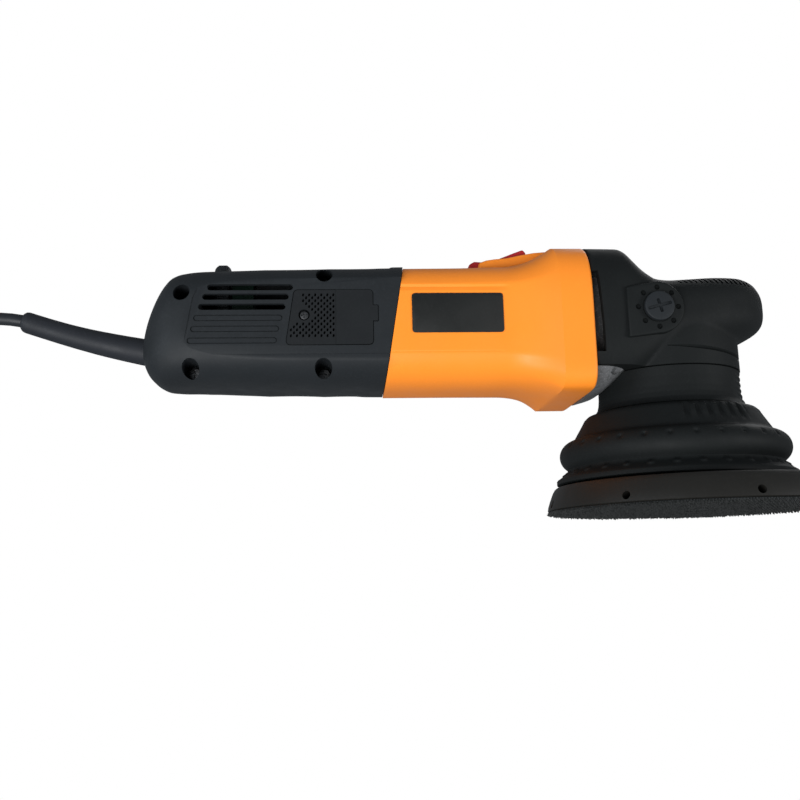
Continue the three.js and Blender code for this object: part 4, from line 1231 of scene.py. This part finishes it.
def coil_tie():
    """A strap with its buckle, round all the turns."""
    (x0, x1), (z0, z1), thick = TIE["x"], TIE["z"], TIE["thick"]
    corners = [(x0, z0), (x1, z0), (x1, z1), (x0, z1)]
    outer = rounded(corners, TIE["corner"])
    inner = rounded(grown(corners, -thick), TIE["corner"] - thick)
    strap = solid("tie_strap", rim_tool(outer, inner, TIE["y"]))
    buckle = softened(solid("buckle", box((-460, -457.4), (0.8, 11.2), (9.5, 19.5))), 0.7)
    combine(strap, [buckle], "UNION")
    slots = [box((-461, -458.6), (2.6, 9.4), (low, low + 1.2)) for low in (11.6, 16.2)]
    combine(strap, [solid("slots", *slots)])
    return present(strap, "handle_black", "tool", "cord_tie")


def ridge(x, start):
    """Every other millimetre and a half of the plug's ribbed parts lies lower."""
    return int((x - start) / 1.5) % 2


def plug_body():
    """A round moulded plug with a ribbed lead that rises from the surface, and a ribbed grip."""
    sections = []
    for x in np.arange(-382, -364.4, 0.75):
        share = (x + 382) / 18
        sections.append((x, 4.6 + 1.8 * share - 0.6 * ridge(x, -382), 5.4 + 7.8 * share))
    sections += [(-364.2, 7.2, 13.1), (-364, 7.8, PLUG_Z), (-356.6, 12.6, PLUG_Z)]
    sections += [(x, 13 - 0.5 * ridge(x, -355), PLUG_Z) for x in np.arange(-355, -346, 0.75)]
    sections += [(-345.5, 13, PLUG_Z), (-342, 13, PLUG_Z), (-341.2, 12.4, PLUG_Z), (-341, 11.6, PLUG_Z)]
    turns = np.arange(64) / 64 * TAU
    rows = [
        [(x, PLUG_Y + radius * math.cos(a), z + radius * math.sin(a)) for a in turns]
        for x, radius, z in sections
    ]
    return solid("moulded_plug", skin(rows))


def plug_parts():
    """The plug and its two sleeved pins."""
    centres = [(0, PLUG_Y + PIN_SPACING / 2 * side, PLUG_Z) for side in (-1, 1)]
    plug = combine(plug_body(), [solid("sockets", *(rod("x", 2.5, (-345, -338), at, 32) for at in centres))])
    pieces = [present(plug, "cord_black", "tool", "plug")]
    profile = [
        (0, -344.6), (2.3, -344.6), (2.3, -332), (2, -331.7), (2, -323.6), (1.7, -322.6), (1, -322),
        (0, -321.8),
    ]
    for number, at in enumerate(centres, 1):
        pin = solid(f"contact_pin_{number}", lathe(profile, 32, "x", at))
        pieces.append(present(pin, "brass", "tool", f"plug_pin_{number}"))
    return pieces


cord = make_cord()
coil_tie()
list(plug_parts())

# ---- Stage: pale one-sided floor, white surround, soft lights ----


def make_floor():
    """A wide floor that is seen from above only, just under the part."""
    reach, drop = 6.0, 0.0002
    corners = [(-reach, -reach, 0), (reach, -reach, 0), (reach, reach, 0), (-reach, reach, 0)]
    mesh = bpy.data.meshes.new("floor")
    mesh.from_pydata(corners, [], [(0, 1, 2, 3)])
    floor = add_object("floor", mesh)
    floor.location.z = -drop
    look = Look("pale floor", (0.86, 0.86, 0.86), 0.6)
    clear = look.node("ShaderNodeBsdfTransparent")
    mix = look.node("ShaderNodeMixShader")
    look.link(look.node("ShaderNodeNewGeometry").outputs["Backfacing"], mix.inputs[0])
    look.link(look.shader.outputs[0], mix.inputs[1])
    look.link(clear.outputs[0], mix.inputs[2])
    look.link(mix.outputs[0], look.tree.nodes["Material Output"].inputs["Surface"])
    mesh.materials.append(look.material)
    floor.visible_diffuse = floor.visible_glossy = floor.visible_shadow = False


def make_world():
    """White to the camera, a soft cool light to everything else."""
    world = bpy.data.worlds.new("surround")
    scene.world = world
    world.use_nodes = True
    nodes, links = world.node_tree.nodes, world.node_tree.links
    seen = nodes["Background"]
    seen.inputs[0].default_value = (1, 1, 1, 1)
    lit = nodes.new("ShaderNodeBackground")
    lit.inputs[0].default_value = (0.88, 0.94, 1.0, 1)
    lit.inputs[1].default_value = 0.26
    path = nodes.new("ShaderNodeLightPath")
    mix = nodes.new("ShaderNodeMixShader")
    links.new(path.outputs["Is Camera Ray"], mix.inputs[0])
    links.new(lit.outputs[0], mix.inputs[1])
    links.new(seen.outputs[0], mix.inputs[2])
    links.new(mix.outputs[0], nodes["World Output"].inputs[0])


def make_light(name, at, aim, size, power, color=(1, 1, 1)):
    """A round area light in metres and watts."""
    data = bpy.data.lights.new(name, "AREA")
    data.shape = "DISK"
    data.size = size
    data.energy = power
    data.color = color
    light = add_object(name, data)
    light.location = at
    light.rotation_euler = (Vector(aim) - Vector(at)).to_track_quat("-Z", "Y").to_euler()


make_floor()
make_world()
make_light("key", (-0.68, -1.1, -0.56), (-0.1, 0, 0.09), 0.8, 19.5)
make_light("left_fill", (-1.3, -0.6, 0.1), (-0.2, 0, 0.09), 0.6, 4.5, (0.85, 0.93, 1))
make_light("right_fill", (1.0, -0.8, -0.05), (0, 0, 0.07), 0.6, 8)
make_light("rim", (0.6, 0.7, 0.9), (-0.05, 0, 0.09), 0.8, 3.5)
